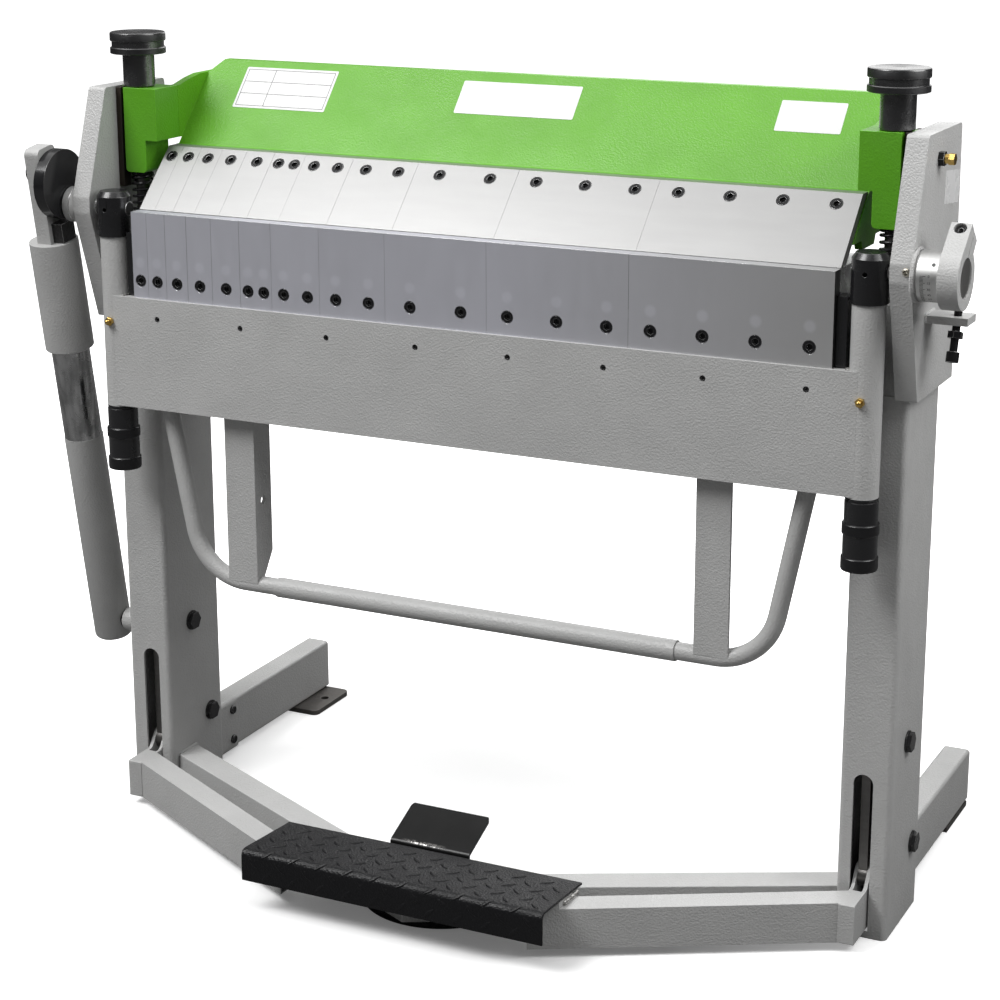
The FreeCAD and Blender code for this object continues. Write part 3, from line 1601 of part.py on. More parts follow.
def main():
    os.makedirs("parts", exist_ok=True)
    save_pair("column", column())
    save("side_plate_right", side_plate().cut(pointer_hole()))
    save("side_plate_left", mirrored(side_plate()))
    save("bed_beam", bed_beam())
    save("lower_jaw", lower_jaw())
    strips = []
    for strip in gib_strips():
        strips += both_sides(strip)
    save("gib_strips", strips)
    screw, nut = gib_screw()
    save("gib_screws", both_sides(screw))
    save("gib_nuts", both_sides(nut))
    save_pair("rear_foot", rear_foot())
    save("foot_brackets", both_sides(foot_bracket()))
    save("floor_plates", both_sides(floor_plate()))
    save("base_spreader", base_spreader())
    save("latch_base", latch_base())
    save("frame_bolts", frame_bolts())
    screws = []
    for screw in foot_screws():
        screws += both_sides(screw)
    save("foot_screws", screws)
    save("hinge_bushes", [hinge_bush(bush_flange_right_r), mirrored(hinge_bush(shaft_r))])
    save("stop_bar", stop_bar())
    save("stop_bolt", stop_bolt())
    save("stop_nut", stop_nut())
    save("pointer_screw", pointer_screw())
    save("damper_anchor", damper_anchor())
    save_pair("hinge_post", hinge_post())
    save("pivot_shaft_right", pivot_shaft(right_shaft_end_x))
    save("pivot_shaft_left", mirrored(pivot_shaft(-crank_face_x)))
    save("angle_ring", angle_ring())
    save("crank_disc", crank_disc())
    save("stop_collar", stop_collar())
    save("collar_screw", collar_screw())
    save("apron", apron())
    save("slide_tubes", both_sides(slide_tube()))
    save("blade_carrier", blade_carrier())
    bow = bow_handle()
    save("bow_handle", bow)
    save("handle_struts", both_sides(handle_strut(bow)))
    save("grip_sleeve", grip_sleeve())
    save("grease_nipples", both_sides(grease_nipple()))
    save("apron_screws", apron_screws())
    save("bending_segments", bending_segments())
    save("bending_screws", bending_screws())
    save_pair("knurled_nut", knurled_nut())
    save("upper_beam", upper_beam())
    save_pair("end_block", end_block())
    save("clamping_segments", clamping_segments())
    save("clamping_screws", clamping_screws())
    save_pair("pull_rod", pull_rod())
    save_pair("knob", knob())
    save("return_springs", both_sides(return_spring()))
    save_pair("pedal_arm", pedal_arm())
    save("tread", tread())
    save("lever_pins", both_sides(lever_pin()))
    save("release_pedal", release_pedal())
    save("damper_head", damper_head())
    save("damper_tube", damper_tube())


main()
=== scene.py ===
import json
import math

import bpy
from bpy.props import FloatProperty, FloatVectorProperty, IntProperty, PointerProperty
from mathutils import Euler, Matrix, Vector


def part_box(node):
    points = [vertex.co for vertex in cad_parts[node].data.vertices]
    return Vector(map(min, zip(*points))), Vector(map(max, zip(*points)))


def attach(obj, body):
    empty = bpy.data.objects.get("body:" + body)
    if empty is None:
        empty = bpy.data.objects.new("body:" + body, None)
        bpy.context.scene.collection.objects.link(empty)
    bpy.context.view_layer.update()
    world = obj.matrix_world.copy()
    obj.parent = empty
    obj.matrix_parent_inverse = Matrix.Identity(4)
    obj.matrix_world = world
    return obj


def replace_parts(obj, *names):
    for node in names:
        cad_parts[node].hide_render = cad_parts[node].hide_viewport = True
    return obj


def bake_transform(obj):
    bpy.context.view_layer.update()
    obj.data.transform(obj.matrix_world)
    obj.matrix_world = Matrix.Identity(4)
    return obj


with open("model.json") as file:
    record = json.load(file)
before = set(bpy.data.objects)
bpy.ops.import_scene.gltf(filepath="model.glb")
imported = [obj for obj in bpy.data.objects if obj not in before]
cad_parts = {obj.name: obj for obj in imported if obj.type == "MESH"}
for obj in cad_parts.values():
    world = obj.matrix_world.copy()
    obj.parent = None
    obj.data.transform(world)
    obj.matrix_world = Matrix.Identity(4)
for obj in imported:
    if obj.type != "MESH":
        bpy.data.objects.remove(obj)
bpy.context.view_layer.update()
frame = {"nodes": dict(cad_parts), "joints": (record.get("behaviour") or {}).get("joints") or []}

bl_info = {
    "name": "Box and pan brake",
    "version": (1, 0, 0),
    "blender": (4, 5, 0),
    "location": "3D View > Sidebar > Brake",
    "description": "Paint, ground steel, knurls, welds and studio for a foot-operated folder",
    "category": "Object",
}

joints = {joint["name"]: joint for joint in frame["joints"]}
MM = 0.001
SIDES = (("left", -1), ("right", 1))
COLOUR = {"subtype": "COLOR", "size": 3, "min": 0.0, "max": 1.0}
LENGTH = {"subtype": "DISTANCE", "unit": "LENGTH"}
POWER = {"unit": "POWER", "min": 0.0}


class BrakePaint(bpy.types.PropertyGroup):
    """Paint of the stand and of the clamping beam"""

    stand: FloatVectorProperty(
        name="Stand paint", description="Light grey of the stand and the leaf",
        default=(0.47, 0.47, 0.465), **COLOUR,
    )
    beam: FloatVectorProperty(
        name="Beam paint", description="Bright green of the clamping beam",
        default=(0.104, 0.343, 0.010), **COLOUR,
    )
    block: FloatVectorProperty(
        name="Block paint", description="Deeper green of the two end blocks",
        default=(0.097, 0.335, 0.013), **COLOUR,
    )
    peel: FloatProperty(
        name="Peel size", description="Size of the small dimples in the paint",
        min=0.5 * MM, default=2.6 * MM, **LENGTH,
    )
    peel_depth: FloatProperty(
        name="Peel depth", description="Height of the dimples in the paint",
        min=0.0, default=0.50 * MM, **LENGTH,
    )


class BrakeSteel(bpy.types.PropertyGroup):
    """Bare and blackened metal"""

    clamp: FloatVectorProperty(
        name="Clamp fingers", description="Ground steel of the clamping segments",
        default=(0.300, 0.299, 0.297), **COLOUR,
    )
    blade: FloatVectorProperty(
        name="Blade fingers", description="Ground steel of the bending segments",
        default=(0.65, 0.653, 0.715), **COLOUR,
    )
    black: FloatVectorProperty(
        name="Black oxide", description="Blackened screws, nuts and heads",
        default=(0.010, 0.010, 0.011), **COLOUR,
    )
    brass: FloatVectorProperty(
        name="Brass", description="Grease nipples and adjusting screws",
        default=(0.62, 0.42, 0.13), **COLOUR,
    )
    edge: FloatProperty(
        name="Broken edge", description="Width of the broken edge on machined steel",
        min=0.1 * MM, default=0.5 * MM, **LENGTH,
    )
    soft_edge: FloatProperty(
        name="Painted edge", description="Width of the rounded edge on painted steel",
        min=0.1 * MM, default=1.4 * MM, **LENGTH,
    )


class BrakeDetail(bpy.types.PropertyGroup):
    """Sizes of the details that the scene adds"""

    spring_turns: IntProperty(
        name="Spring turns", description="Turns of each return spring", min=3, default=11,
    )
    spring_wire: FloatProperty(
        name="Spring wire", description="Diameter of the spring wire",
        min=1.0 * MM, default=4.0 * MM, **LENGTH,
    )
    knurl: FloatProperty(
        name="Knurl pitch", description="Spacing of the knurl on knobs and nuts",
        min=0.5 * MM, default=1.5 * MM, **LENGTH,
    )
    weld: FloatProperty(
        name="Weld bead", description="Radius of the weld beads",
        min=1.0 * MM, default=3.0 * MM, **LENGTH,
    )
    chequer: FloatProperty(
        name="Chequer pitch", description="Spacing of the raised bars on the tread",
        min=10.0 * MM, default=41.0 * MM, **LENGTH,
    )
    plate: FloatProperty(
        name="Plate thickness", description="Thickness of the blank plates",
        min=0.1 * MM, default=0.35 * MM, **LENGTH,
    )


class BrakeStudio(bpy.types.PropertyGroup):
    """Floor, light and camera"""

    floor: FloatVectorProperty(
        name="Floor", description="Colour of the plain floor", default=(0.93, 0.93, 0.93), **COLOUR,
    )
    bounce: FloatProperty(
        name="Floor bounce", description="Share of the light that the floor gives back to the machine",
        subtype="FACTOR", min=0.0, max=1.0, default=0.18,
    )
    air: FloatProperty(
        name="Air", description="Strength of the even light all round", min=0.0, default=0.22,
    )
    key: FloatProperty(
        name="Key light", description="Power of the large soft light at the front left",
        default=232.0, **POWER,
    )
    fill: FloatProperty(
        name="Fill light", description="Power of the soft light at the right", default=50.0, **POWER,
    )
    side: FloatProperty(
        name="Side light", description="Power of the small soft light beside the right cheek",
        default=10.0, **POWER,
    )
    top: FloatProperty(
        name="Top light", description="Power of the soft light above", default=138.0, **POWER,
    )
    back: FloatProperty(
        name="Back light", description="Power of the soft light behind", default=50.0, **POWER,
    )
    lens: FloatProperty(
        name="Lens", description="Focal length of the camera in millimetres",
        unit="CAMERA", min=10.0, default=84.30,
    )


def feed(tree, node, links):
    """Give a node's sockets a value each, or another node's socket."""
    for key, value in links.items():
        if isinstance(value, bpy.types.NodeSocket):
            tree.links.new(value, node.inputs[key])
        else:
            node.inputs[key].default_value = value


def add(tree, kind, links=None, **settings):
    """New node with its settings and what feeds its sockets."""
    made = tree.nodes.new(kind)
    for name, value in settings.items():
        setattr(made, name, value)
    feed(tree, made, links or {})
    return made


def calc(tree, operation, *values):
    """Result of a math node."""
    return add(tree, "ShaderNodeMath", dict(enumerate(values)), operation=operation).outputs[0]


def times(tree, first, second):
    """Product of two values."""
    return calc(tree, "MULTIPLY", first, second)


def gap(tree, value, place):
    """How far a value is from a place."""
    return calc(tree, "ABSOLUTE", calc(tree, "SUBTRACT", value, place))


def remap(tree, value, low, high, to_low=0.0, to_high=1.0):
    """Value stretched from one range to another, held at its ends."""
    links = {"Value": value, 1: low, 2: high, 3: to_low, 4: to_high}
    return add(tree, "ShaderNodeMapRange", links, clamp=True).outputs[0]


def spread(tree, mask, low, high):
    """Value from low to high, as the mask goes from black to white."""
    return remap(tree, mask, 0.0, 1.0, low, high)


def vector_calc(tree, operation, *values, output="Vector"):
    """Result of a vector math node."""
    return add(tree, "ShaderNodeVectorMath", dict(enumerate(values)), operation=operation).outputs[output]


def split(tree, vector):
    """The three values of a vector."""
    return add(tree, "ShaderNodeSeparateXYZ", {0: vector}).outputs


def blend_colour(tree, factor, first, second):
    """Colour between two colours."""
    links = {0: factor, 6: first, 7: second}
    return add(tree, "ShaderNodeMix", links, data_type="RGBA").outputs[2]


def noise(tree, position, scale, detail=3.0, roughness=0.5):
    """Value of a noise texture."""
    links = {"Vector": position, "Scale": scale, "Detail": detail, "Roughness": roughness}
    return add(tree, "ShaderNodeTexNoise", links).outputs["Fac"]


def new_group(name, inputs, outputs):
    """Empty shader group; each input has a number, or None for a vector."""
    tree = bpy.data.node_groups.new(name, "ShaderNodeTree")
    for label, value in inputs.items():
        kind = "NodeSocketVector" if value is None else "NodeSocketFloat"
        socket = tree.interface.new_socket(name=label, in_out="INPUT", socket_type=kind)
        if value is not None:
            socket.default_value = value
    for label in outputs:
        tree.interface.new_socket(name=label, in_out="OUTPUT", socket_type="NodeSocketFloat")
    return tree, tree.nodes.new("NodeGroupInput").outputs, tree.nodes.new("NodeGroupOutput")


def orange_peel_group():
    """Dimples and soft mottling of sprayed paint."""
    inputs = {"Position": None, "Cell size": 3.0 * MM}
    tree, given, result = new_group("Orange peel", inputs, ("Height", "Mottle"))
    position = given["Position"]
    scale = calc(tree, "DIVIDE", 1.0, given["Cell size"])
    links = {"Vector": position, "Scale": scale, "Smoothness": 0.8}
    cells = add(tree, "ShaderNodeTexVoronoi", links, feature="SMOOTH_F1").outputs["Distance"]
    fine = noise(tree, position, times(tree, scale, 1.7), 2.0)
    broad = noise(tree, position, times(tree, scale, 0.03), 4.0)
    feed(tree, result, {
        "Height": calc(tree, "ADD", cells, times(tree, fine, 0.6)),
        "Mottle": remap(tree, broad, 0.35, 0.65),
    })


def ground_grain_group():
    """Fine scratches drawn out along one direction."""
    inputs = {"Position": None, "Stretch": None}
    tree, given, result = new_group("Ground grain", inputs, ("Height", "Streaks"))
    stretched = vector_calc(tree, "MULTIPLY", given["Position"], given["Stretch"])
    feed(tree, result, {
        "Height": noise(tree, stretched, 1.0, 5.0, 0.65),
        "Streaks": remap(tree, noise(tree, stretched, 0.25, 3.0), 0.3, 0.7),
    })


def smudges_group():
    """Broad uneven patches of dust, oil and handling."""
    tree, given, result = new_group("Smudges", {"Position": None, "Size": 50.0 * MM}, ("Mask",))
    patches = noise(tree, given["Position"], calc(tree, "DIVIDE", 1.0, given["Size"]), 6.0, 0.62)
    feed(tree, result, {"Mask": remap(tree, patches, 0.42, 0.68)})


def knurl_group():
    """Crossed diagonal ridges round an upright axis."""
    inputs = {"Position": None, "Centre": None, "Radius": 30.0 * MM, "Pitch": 1.5 * MM}
    tree, given, result = new_group("Knurl", inputs, ("Height",))
    place = split(tree, vector_calc(tree, "SUBTRACT", given["Position"], given["Centre"]))
    round_run = times(tree, calc(tree, "ARCTAN2", place["Y"], place["X"]), given["Radius"])
    ridges = []
    for turn in ("ADD", "SUBTRACT"):
        run = calc(tree, turn, round_run, place["Z"])
        ridges.append(calc(tree, "PINGPONG", calc(tree, "DIVIDE", run, given["Pitch"]), 0.5))
    feed(tree, result, {"Height": times(tree, *ridges)})


def material_nodes(name):
    """Tree, Principled BSDF and object position of a material."""
    tree = bpy.data.materials[name].node_tree
    return tree, tree.nodes["Principled BSDF"], tree.nodes.new("ShaderNodeTexCoord").outputs["Object"]


def new_material(name):
    """Nodes of a new material."""
    bpy.data.materials.new(name).use_nodes = True
    return material_nodes(name)


def use_group(tree, name, links):
    """Outputs of a shader group placed in a material."""
    return add(tree, "ShaderNodeGroup", links, node_tree=bpy.data.node_groups[name]).outputs


def smudges(tree, position, size):
    """Mask of patches of a size in millimetres."""
    return use_group(tree, "Smudges", {"Position": position, "Size": size * MM})["Mask"]


def bump(tree, shader, height, depth):
    """Relief of a height mask, with its depth in metres."""
    normal = add(tree, "ShaderNodeBump", {"Height": height, "Distance": depth, "Strength": 1.0})
    feed(tree, shader, {"Normal": normal.outputs["Normal"]})


def tone(colour, factor=1.0):
    """Opaque colour, lighter or darker by a factor."""
    return (colour[0] * factor, colour[1] * factor, colour[2] * factor, 1.0)


def grey(value):
    """Neutral colour of one brightness."""
    return (value, value, value)


def lay_over(tree, shader, mask, colour):
    """Another colour where the mask is white, over the one that the material has."""
    below = shader.inputs["Base Color"].links[0].from_socket
    feed(tree, shader, {"Base Color": blend_colour(tree, mask, below, tone(colour))})


def painted(name, colour, light=1.0, depth=1.0, sheen=0.42):
    """Sprayed paint with orange peel and faint dust."""
    paint = bpy.context.scene.brake_paint
    tree, shader, position = new_material(name)
    peel = use_group(tree, "Orange peel", {"Position": position, "Cell size": paint.peel})
    dust = smudges(tree, position, 90)
    base = blend_colour(tree, peel["Mottle"], tone(colour, 0.95 * light), tone(colour, 1.03 * light))
    feed(tree, shader, {
        "Base Color": blend_colour(tree, times(tree, dust, 0.16), base, tone(colour, 0.72 * light)),
        "Roughness": spread(tree, dust, 0.36, 0.50),
        "Specular IOR Level": sheen,
    })
    bump(tree, shader, peel["Height"], paint.peel_depth * depth)


def blackened(name, colour, metal=0.35, rough=(0.30, 0.48), knurl=None, sheen=0.5):
    """Blackened steel, oily and slightly uneven, with a knurl where asked."""
    tree, shader, position = new_material(name)
    oil = smudges(tree, position, 22)
    feed(tree, shader, {
        "Base Color": blend_colour(tree, oil, tone(colour), tone(colour, 1.15)),
        "Roughness": spread(tree, oil, *rough),
        "Metallic": metal,
        "Specular IOR Level": sheen,
    })
    if knurl:
        group, links, depth = "Knurl", dict(knurl, Position=position), 0.5
    else:
        group, links, depth = "Ground grain", {"Position": position, "Stretch": (90, 90, 1600)}, 0.02
    bump(tree, shader, use_group(tree, group, links)["Height"], depth * MM)


def machined(
    name, colour, stretch, rough=(0.26, 0.40), size=60, depth=0.012, contrast=0.10, stained=0.35, metal=1.0,
):
    """Ground or turned bright steel with its grain and faint stains."""
    tree, shader, position = new_material(name)
    grain = use_group(tree, "Ground grain", {"Position": position, "Stretch": stretch})
    stain = smudges(tree, position, size)
    dark, light = tone(colour, 1.0 - contrast), tone(colour, 1.0 + contrast * 0.5)
    base = blend_colour(tree, grain["Streaks"], dark, light)
    darkest = tone(colour, 1.0 - 2.2 * contrast)
    feed(tree, shader, {
        "Base Color": blend_colour(tree, times(tree, stain, stained), base, darkest),
        "Roughness": spread(tree, stain, *rough),
        "Metallic": metal,
    })
    bump(tree, shader, grain["Height"], depth * MM)


def printed(name, colour):
    """Smooth printed film with a faint sheen."""
    tree, shader, position = new_material(name)
    marks = smudges(tree, position, 25)
    feed(tree, shader, {
        "Base Color": blend_colour(tree, times(tree, marks, 0.25), tone(colour), tone(colour, 0.9)),
        "Roughness": spread(tree, marks, 0.25, 0.38),
    })
    bump(tree, shader, marks, 0.01 * MM)


def worn_pedal(colour):
    """Black paint of the small pedal, scuffed bright along its bend; the bright line is also a painted
    highlight of the bend.
    """
    bend_z, bright_line_x = 80.6 * MM, -16.0 * MM
    blackened("Worn black with highlight", colour, 0.0, (0.29, 0.33), sheen=0.30)
    tree, shader, position = material_nodes("Worn black with highlight")
    place = split(tree, position)
    line = remap(tree, gap(tree, place["Z"], bend_z), 0.4 * MM, 1.9 * MM, 1.0, 0.0)
    width = remap(tree, gap(tree, place["X"], bright_line_x), 18 * MM, 34 * MM, 1.0, 0.0)
    rubbed_and_lit = remap(tree, noise(tree, position, 320.0, 4.0), 0.44, 0.58)
    # Bright metal line along the bend: wear, and a painted highlight of the bend.
    scuff_and_highlight = times(tree, times(tree, line, width), rubbed_and_lit)
    lay_over(tree, shader, scuff_and_highlight, (0.34, 0.33, 0.32))
    feed(tree, shader, {"Metallic": times(tree, scuff_and_highlight, 0.9)})


def strut_line():
    """Pivot of the balance strut, and the direction down along it."""
    down = -Vector(joints["damper_stroke"]["axis"]).normalized()
    return Vector(joints["damper_pivot"]["pos_m"]), down


def strut_paint(colour):
    """Paint of the strut's head, left black on the neck behind the bar."""
    bar_face, neck_end, blur = 11.6 * MM, 97.5 * MM, 0.8 * MM
    painted("Strut paint", colour)
    tree, shader, position = material_nodes("Strut paint")
    pivot, down = strut_line()
    face, end = pivot.x + bar_face, pivot.dot(down) + neck_end
    along = vector_calc(tree, "DOT_PRODUCT", position, tuple(down), output="Value")
    behind = remap(tree, split(tree, position)["X"], face, face + 0.3 * MM)
    neck = times(tree, behind, remap(tree, along, end, end + blur, 1.0, 0.0))
    lay_over(tree, shader, neck, grey(0.012))
    dull = shader.inputs["Roughness"].links[0].from_socket
    feed(tree, shader, {"Roughness": times(tree, dull, spread(tree, neck, 1.0, 0.6))})


def shaft_paint(colour):
    """Paint of the left shaft, whose inner end is left black."""
    inner_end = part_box("pivot_shaft_left")[1].x
    painted("Shaft paint", colour)
    tree, shader, position = material_nodes("Shaft paint")
    bare = remap(tree, split(tree, position)["X"], inner_end - 0.5 * MM, inner_end - 0.2 * MM)
    lay_over(tree, shader, bare, grey(0.012))


def part_centres(node):
    """Centres of the separate solids in a CAD node, left to right."""
    corners = sorted(vertex.co.x for vertex in frame["nodes"][node].data.vertices)
    least_gap = 3 * MM
    centres = []
    start = last = corners[0]
    for x in corners[1:] + [math.inf]:
        if x - last > least_gap:
            centres.append((start + last) / 2)
            start = x
        last = x
    return centres


def cutter_marks(tree, position):
    """Mask of the faint round marks above the blade's screws."""
    mark_rise, mark_r = 26 * MM, 9.5 * MM
    low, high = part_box("bending_screws")
    place = split(tree, position)
    nearest, *others = [gap(tree, place["X"], x) for x in part_centres("bending_screws")]
    for side in others:
        nearest = calc(tree, "MINIMUM", nearest, side)
    rise = gap(tree, place["Z"], (low.z + high.z) / 2 + mark_rise)
    squares = calc(tree, "ADD", calc(tree, "POWER", nearest, 2.0), calc(tree, "POWER", rise, 2.0))
    return remap(tree, calc(tree, "SQRT", squares), mark_r * 0.55, mark_r, 1.0, 0.0)


def blade_steel(colour):
    """Ground steel of the bending blade, cloudy, with a mark above each screw, and painted shade towards the
    right and on its ends.
    """
    tree, shader, position = new_material("Blade steel")
    grain = use_group(tree, "Ground grain", {"Position": position, "Stretch": (260, 260, 60)})
    cloud = smudges(tree, position, 90)
    island = tree.nodes.new("ShaderNodeNewGeometry").outputs["Random Per Island"]
    links = {"Vector": position, "Scale": 150.0, "Distortion": 1.2, "Detail": 2.0}
    arcs = add(
        tree, "ShaderNodeTexWave", links, wave_type="BANDS", bands_direction="DIAGONAL",
    ).outputs["Fac"]
    # Darker and more neutral towards the right: painted shade.
    shade_rightward = remap(tree, split(tree, position)["X"], 50 * MM, 500 * MM)
    layers = (
        (arcs, 0.42, tone(colour, 0.80)), (cloud, 0.50, tone(colour, 0.84)),
        (island, 0.30, tone(colour, 1.10)), (shade_rightward, 0.90, (0.46, 0.46, 0.455, 1.0)),
        (cutter_marks(tree, position), 0.19, tone(colour, 1.5)),
    )
    shade = blend_colour(tree, grain["Streaks"], tone(colour, 0.95), tone(colour, 1.04))
    for mask, share, over in layers:
        shade = blend_colour(tree, times(tree, mask, share), shade, over)
    # Faces that look along X are made near black: painted shade on the blade's ends.
    facing = split(tree, tree.nodes.new("ShaderNodeTexCoord").outputs["Normal"])["X"]
    shaded_ends = remap(tree, calc(tree, "ABSOLUTE", facing), 0.80, 0.98)
    feed(tree, shader, {
        "Base Color": blend_colour(tree, shaded_ends, shade, tone(grey(0.045))),
        "Roughness": spread(tree, cloud, 0.36, 0.42),
        "Metallic": 0.6,
    })
    bump(tree, shader, arcs, 0.004 * MM)


def build_paints(paint):
    """Sprayed finishes of the stand, the leaf and the beam."""
    painted("Stand paint", paint.stand)
    # Lighter copy of the stand paint for the rounded edges: painted highlight.
    painted("Stand paint edge", paint.stand, 1.1)
    # Dark copy of the stand paint for the apron's edges: painted shade, the dark line of the gap under the
    # blade.
    painted("Painted shade edge", paint.stand, 0.22)
    painted("Beam paint", paint.beam, depth=0.6)
    # Lighter copies of the green paints for the rounded edges: painted highlight.
    painted("Beam paint edge", paint.beam, 1.1, 0.6)
    painted("Block paint", paint.block, depth=0.6)
    painted("Block paint edge", paint.block, 1.25, 0.6)
    # Darker copy of the stand paint for the strut's tube: painted shade.
    painted("Tube paint", paint.stand, 0.80)
    painted("Tread black", (0.004, 0.004, 0.005), depth=1.3, sheen=0.30)
    # Slightly darker copy of the stand paint for the strut's head: painted shade on its faces.
    strut_paint(tuple(0.93 * c for c in paint.stand))
    shaft_paint(paint.stand)
    printed("Plate white", grey(0.66))
    printed("Plate line", grey(0.10))


def build_blacks(steel, pitch):
    """Blackened finishes of the screws, heads, nuts and handwheels."""
    blackened("Black oxide", steel.black, 0.0, (0.25, 0.28))
    blackened("Black oxide edge", grey(0.09), 0.8, (0.24, 0.30))
    blackened("Screw black", steel.black, 0.0, (0.22, 0.28), sheen=0.2)
    blackened("Screw rim", grey(0.24), 0.9, (0.22, 0.30))
    blackened("Handwheel black", steel.black, 0.0, (0.24, 0.32), sheen=1.6)
    blackened("Disc black", steel.black, 0.0, (0.17, 0.22), sheen=0.4)
    blackened("Dark steel", (0.045, 0.043, 0.04), 0.8, (0.35, 0.55))
    blackened("Gib steel", (0.035, 0.026, 0.020), 0.6, (0.4, 0.6))
    worn_pedal(grey(0.005))
    for side, _ in SIDES:
        for node, name, sheen in (("knob_", "Knurled rim ", 0.9), ("knurled_nut_", "Knurled band ", 0.5)):
            low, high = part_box(node + side)
            knurl = {"Centre": (low + high) / 2, "Radius": (high.x - low.x) / 2, "Pitch": pitch}
            blackened(name + side, steel.black, 0.35, (0.34, 0.5), knurl, sheen)


def build_steels(steel):
    """Bright finishes of the fingers, shafts and small parts."""
    machined("Clamp steel", steel.clamp, (40, 240, 240), (0.34, 0.38), contrast=0.03, stained=0.2, metal=0.7)
    machined("Clamp steel edge", steel.clamp, (40, 240, 240), (0.2, 0.3))
    machined("Blade steel edge", grey(0.62), (240, 240, 60), (0.2, 0.3))
    machined("Jaw steel", grey(0.45), (60, 300, 300))
    machined("Rod steel", (0.16, 0.155, 0.15), (90, 90, 900), (0.34, 0.5))
    machined("Shaft steel", (0.32, 0.315, 0.31), (90, 90, 90), (0.34, 0.5))
    machined("Bare weld", (0.72, 0.71, 0.69), (500, 500, 500), (0.25, 0.45), 6, 0.05, 0.2)
    machined("Dial metal", (0.66, 0.66, 0.65), (900, 60, 60), (0.36, 0.46), contrast=0.06)
    machined("Scuffed rod", grey(0.45), (420, 420, 14), (0.16, 0.5), 26, 0.03, 0.40)
    machined("Brass", steel.brass, (500, 60, 60), (0.22, 0.38), 12)
    machined("Zinc", (0.70, 0.66, 0.56), (400, 60, 400), (0.22, 0.4), 10)
    machined("Bare plate", (0.20, 0.19, 0.18), (120, 40, 40), (0.4, 0.6), 30)
    blade_steel(steel.blade)


def dress(material, edge_material, edge, *nodes):
    """Finish and broken edges on carried-over CAD nodes."""
    for node in nodes:
        piece = frame["nodes"][node]
        piece.data.materials.clear()
        for name in (material, edge_material):
            piece.data.materials.append(bpy.data.materials[name])
        weld = piece.modifiers.new("Joined faces", "WELD")
        weld.merge_threshold = 0.002 * MM
        flat = piece.modifiers.new("Whole faces", "DECIMATE")
        flat.decimate_type = "DISSOLVE"
        flat.angle_limit = math.radians(0.2)
        rounded = piece.modifiers.new("Broken edges", "BEVEL")
        rounded.width = edge
        rounded.segments = 2
        rounded.limit_method = "ANGLE"
        rounded.angle_limit = math.radians(30)
        rounded.material = 1
        rounded.use_clamp_overlap = True
        shading = piece.modifiers.new("Face shading", "WEIGHTED_NORMAL")
        shading.keep_sharp = False


def make_piece(name, body, shape, slot, *materials):
    """Mesh piece from vertices, faces and perhaps each face's finish, riding on a CAD body."""
    vertices, faces, *finishes = shape
    mesh = bpy.data.meshes.new(name)
    mesh.from_pydata([tuple(vertex) for vertex in vertices], [], faces)
    mesh.update()
    for material in materials:
        mesh.materials.append(bpy.data.materials[material])
    if finishes:
        mesh.polygons.foreach_set("material_index", finishes[0])
    mesh.polygons.foreach_set("use_smooth", [True] * len(mesh.polygons))
    mesh.set_sharp_from_angle(angle=math.radians(32))
    piece = bpy.data.objects.new(name, mesh)
    bpy.context.scene.collection.objects.link(piece)
    if body:
        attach(piece, body)
    return piece


def circle(centre, side, up, radius, count):
    """Points evenly round a centre, in the plane of two directions."""
    turns = [2 * math.pi * k / count for k in range(count)]
    return [centre + (side * math.cos(turn) + up * math.sin(turn)) * radius for turn in turns]


def ring(centre, axis, radius, count=40):
    """Closed path round an axis."""
    axis = Vector(axis).normalized()
    side = axis.orthogonal().normalized()
    points = circle(Vector(centre), side, axis.cross(side), radius, count)
    return points + points[:1]


def lathe(profile, centre, axis=(0, 0, 1), steps=64):
    """Turned shape from rows of radius, distance and perhaps finish, in millimetres along an axis."""
    axis = Vector(axis).normalized()
    side = axis.orthogonal().normalized()
    vertices, rings = [], []
    for radius, distance, *_ in profile:
        middle = Vector(centre) + axis * (distance * MM)
        count = steps if radius else 1
        rings.append(list(range(len(vertices), len(vertices) + count)))
        vertices += circle(middle, side, axis.cross(side), radius * MM, count)
    faces, finishes = [], []
    for row, first, second in zip(profile, rings, rings[1:]):
        for k in range(steps):
            corners = [loop[turn % len(loop)] for loop, turn in (
                (first, k), (first, k + 1), (second, k + 1), (second, k),
            )]
            face = list(dict.fromkeys(corners))
            if len(face) > 2:
                faces.append(face)
                finishes.append(row[2] if len(row) > 2 else 0)
    return vertices, faces, finishes


def skin(count, loops, flip=False):
    """Faces of a body made of loops of count points: its two ends, then the bands between."""
    first, last = list(range(count)), list(range(count * (loops - 1), count * loops))
    faces = [first, last[::-1]] if flip else [first[::-1], last]
    for a in range(count * (loops - 1)):
        b = a - a % count + (a + 1) % count
        faces.append([a, a + count, b + count, b] if flip else [a, b, b + count, a + count])
    return faces


def tube(points, radii, sides=10):
    """Round bar of varying radius along a path, with closed ends."""
    vertices = []
    heading = (points[1] - points[0]).normalized()
    side = heading.orthogonal().normalized()
    for i, point in enumerate(points):
        ahead = points[min(i + 1, len(points) - 1)] - points[max(i - 1, 0)]
        if ahead.length > 0:
            heading = ahead.normalized()
        side = (side - heading * side.dot(heading)).normalized()
        vertices += circle(point, side, heading.cross(side), radii[i], sides)
    return vertices, skin(sides, len(points))


def joined(shapes):
    """One shape from several."""
    vertices, faces = [], []
    for shape in shapes:
        faces += [[index + len(vertices) for index in face] for face in shape[1]]
        vertices += shape[0]
    return vertices, faces


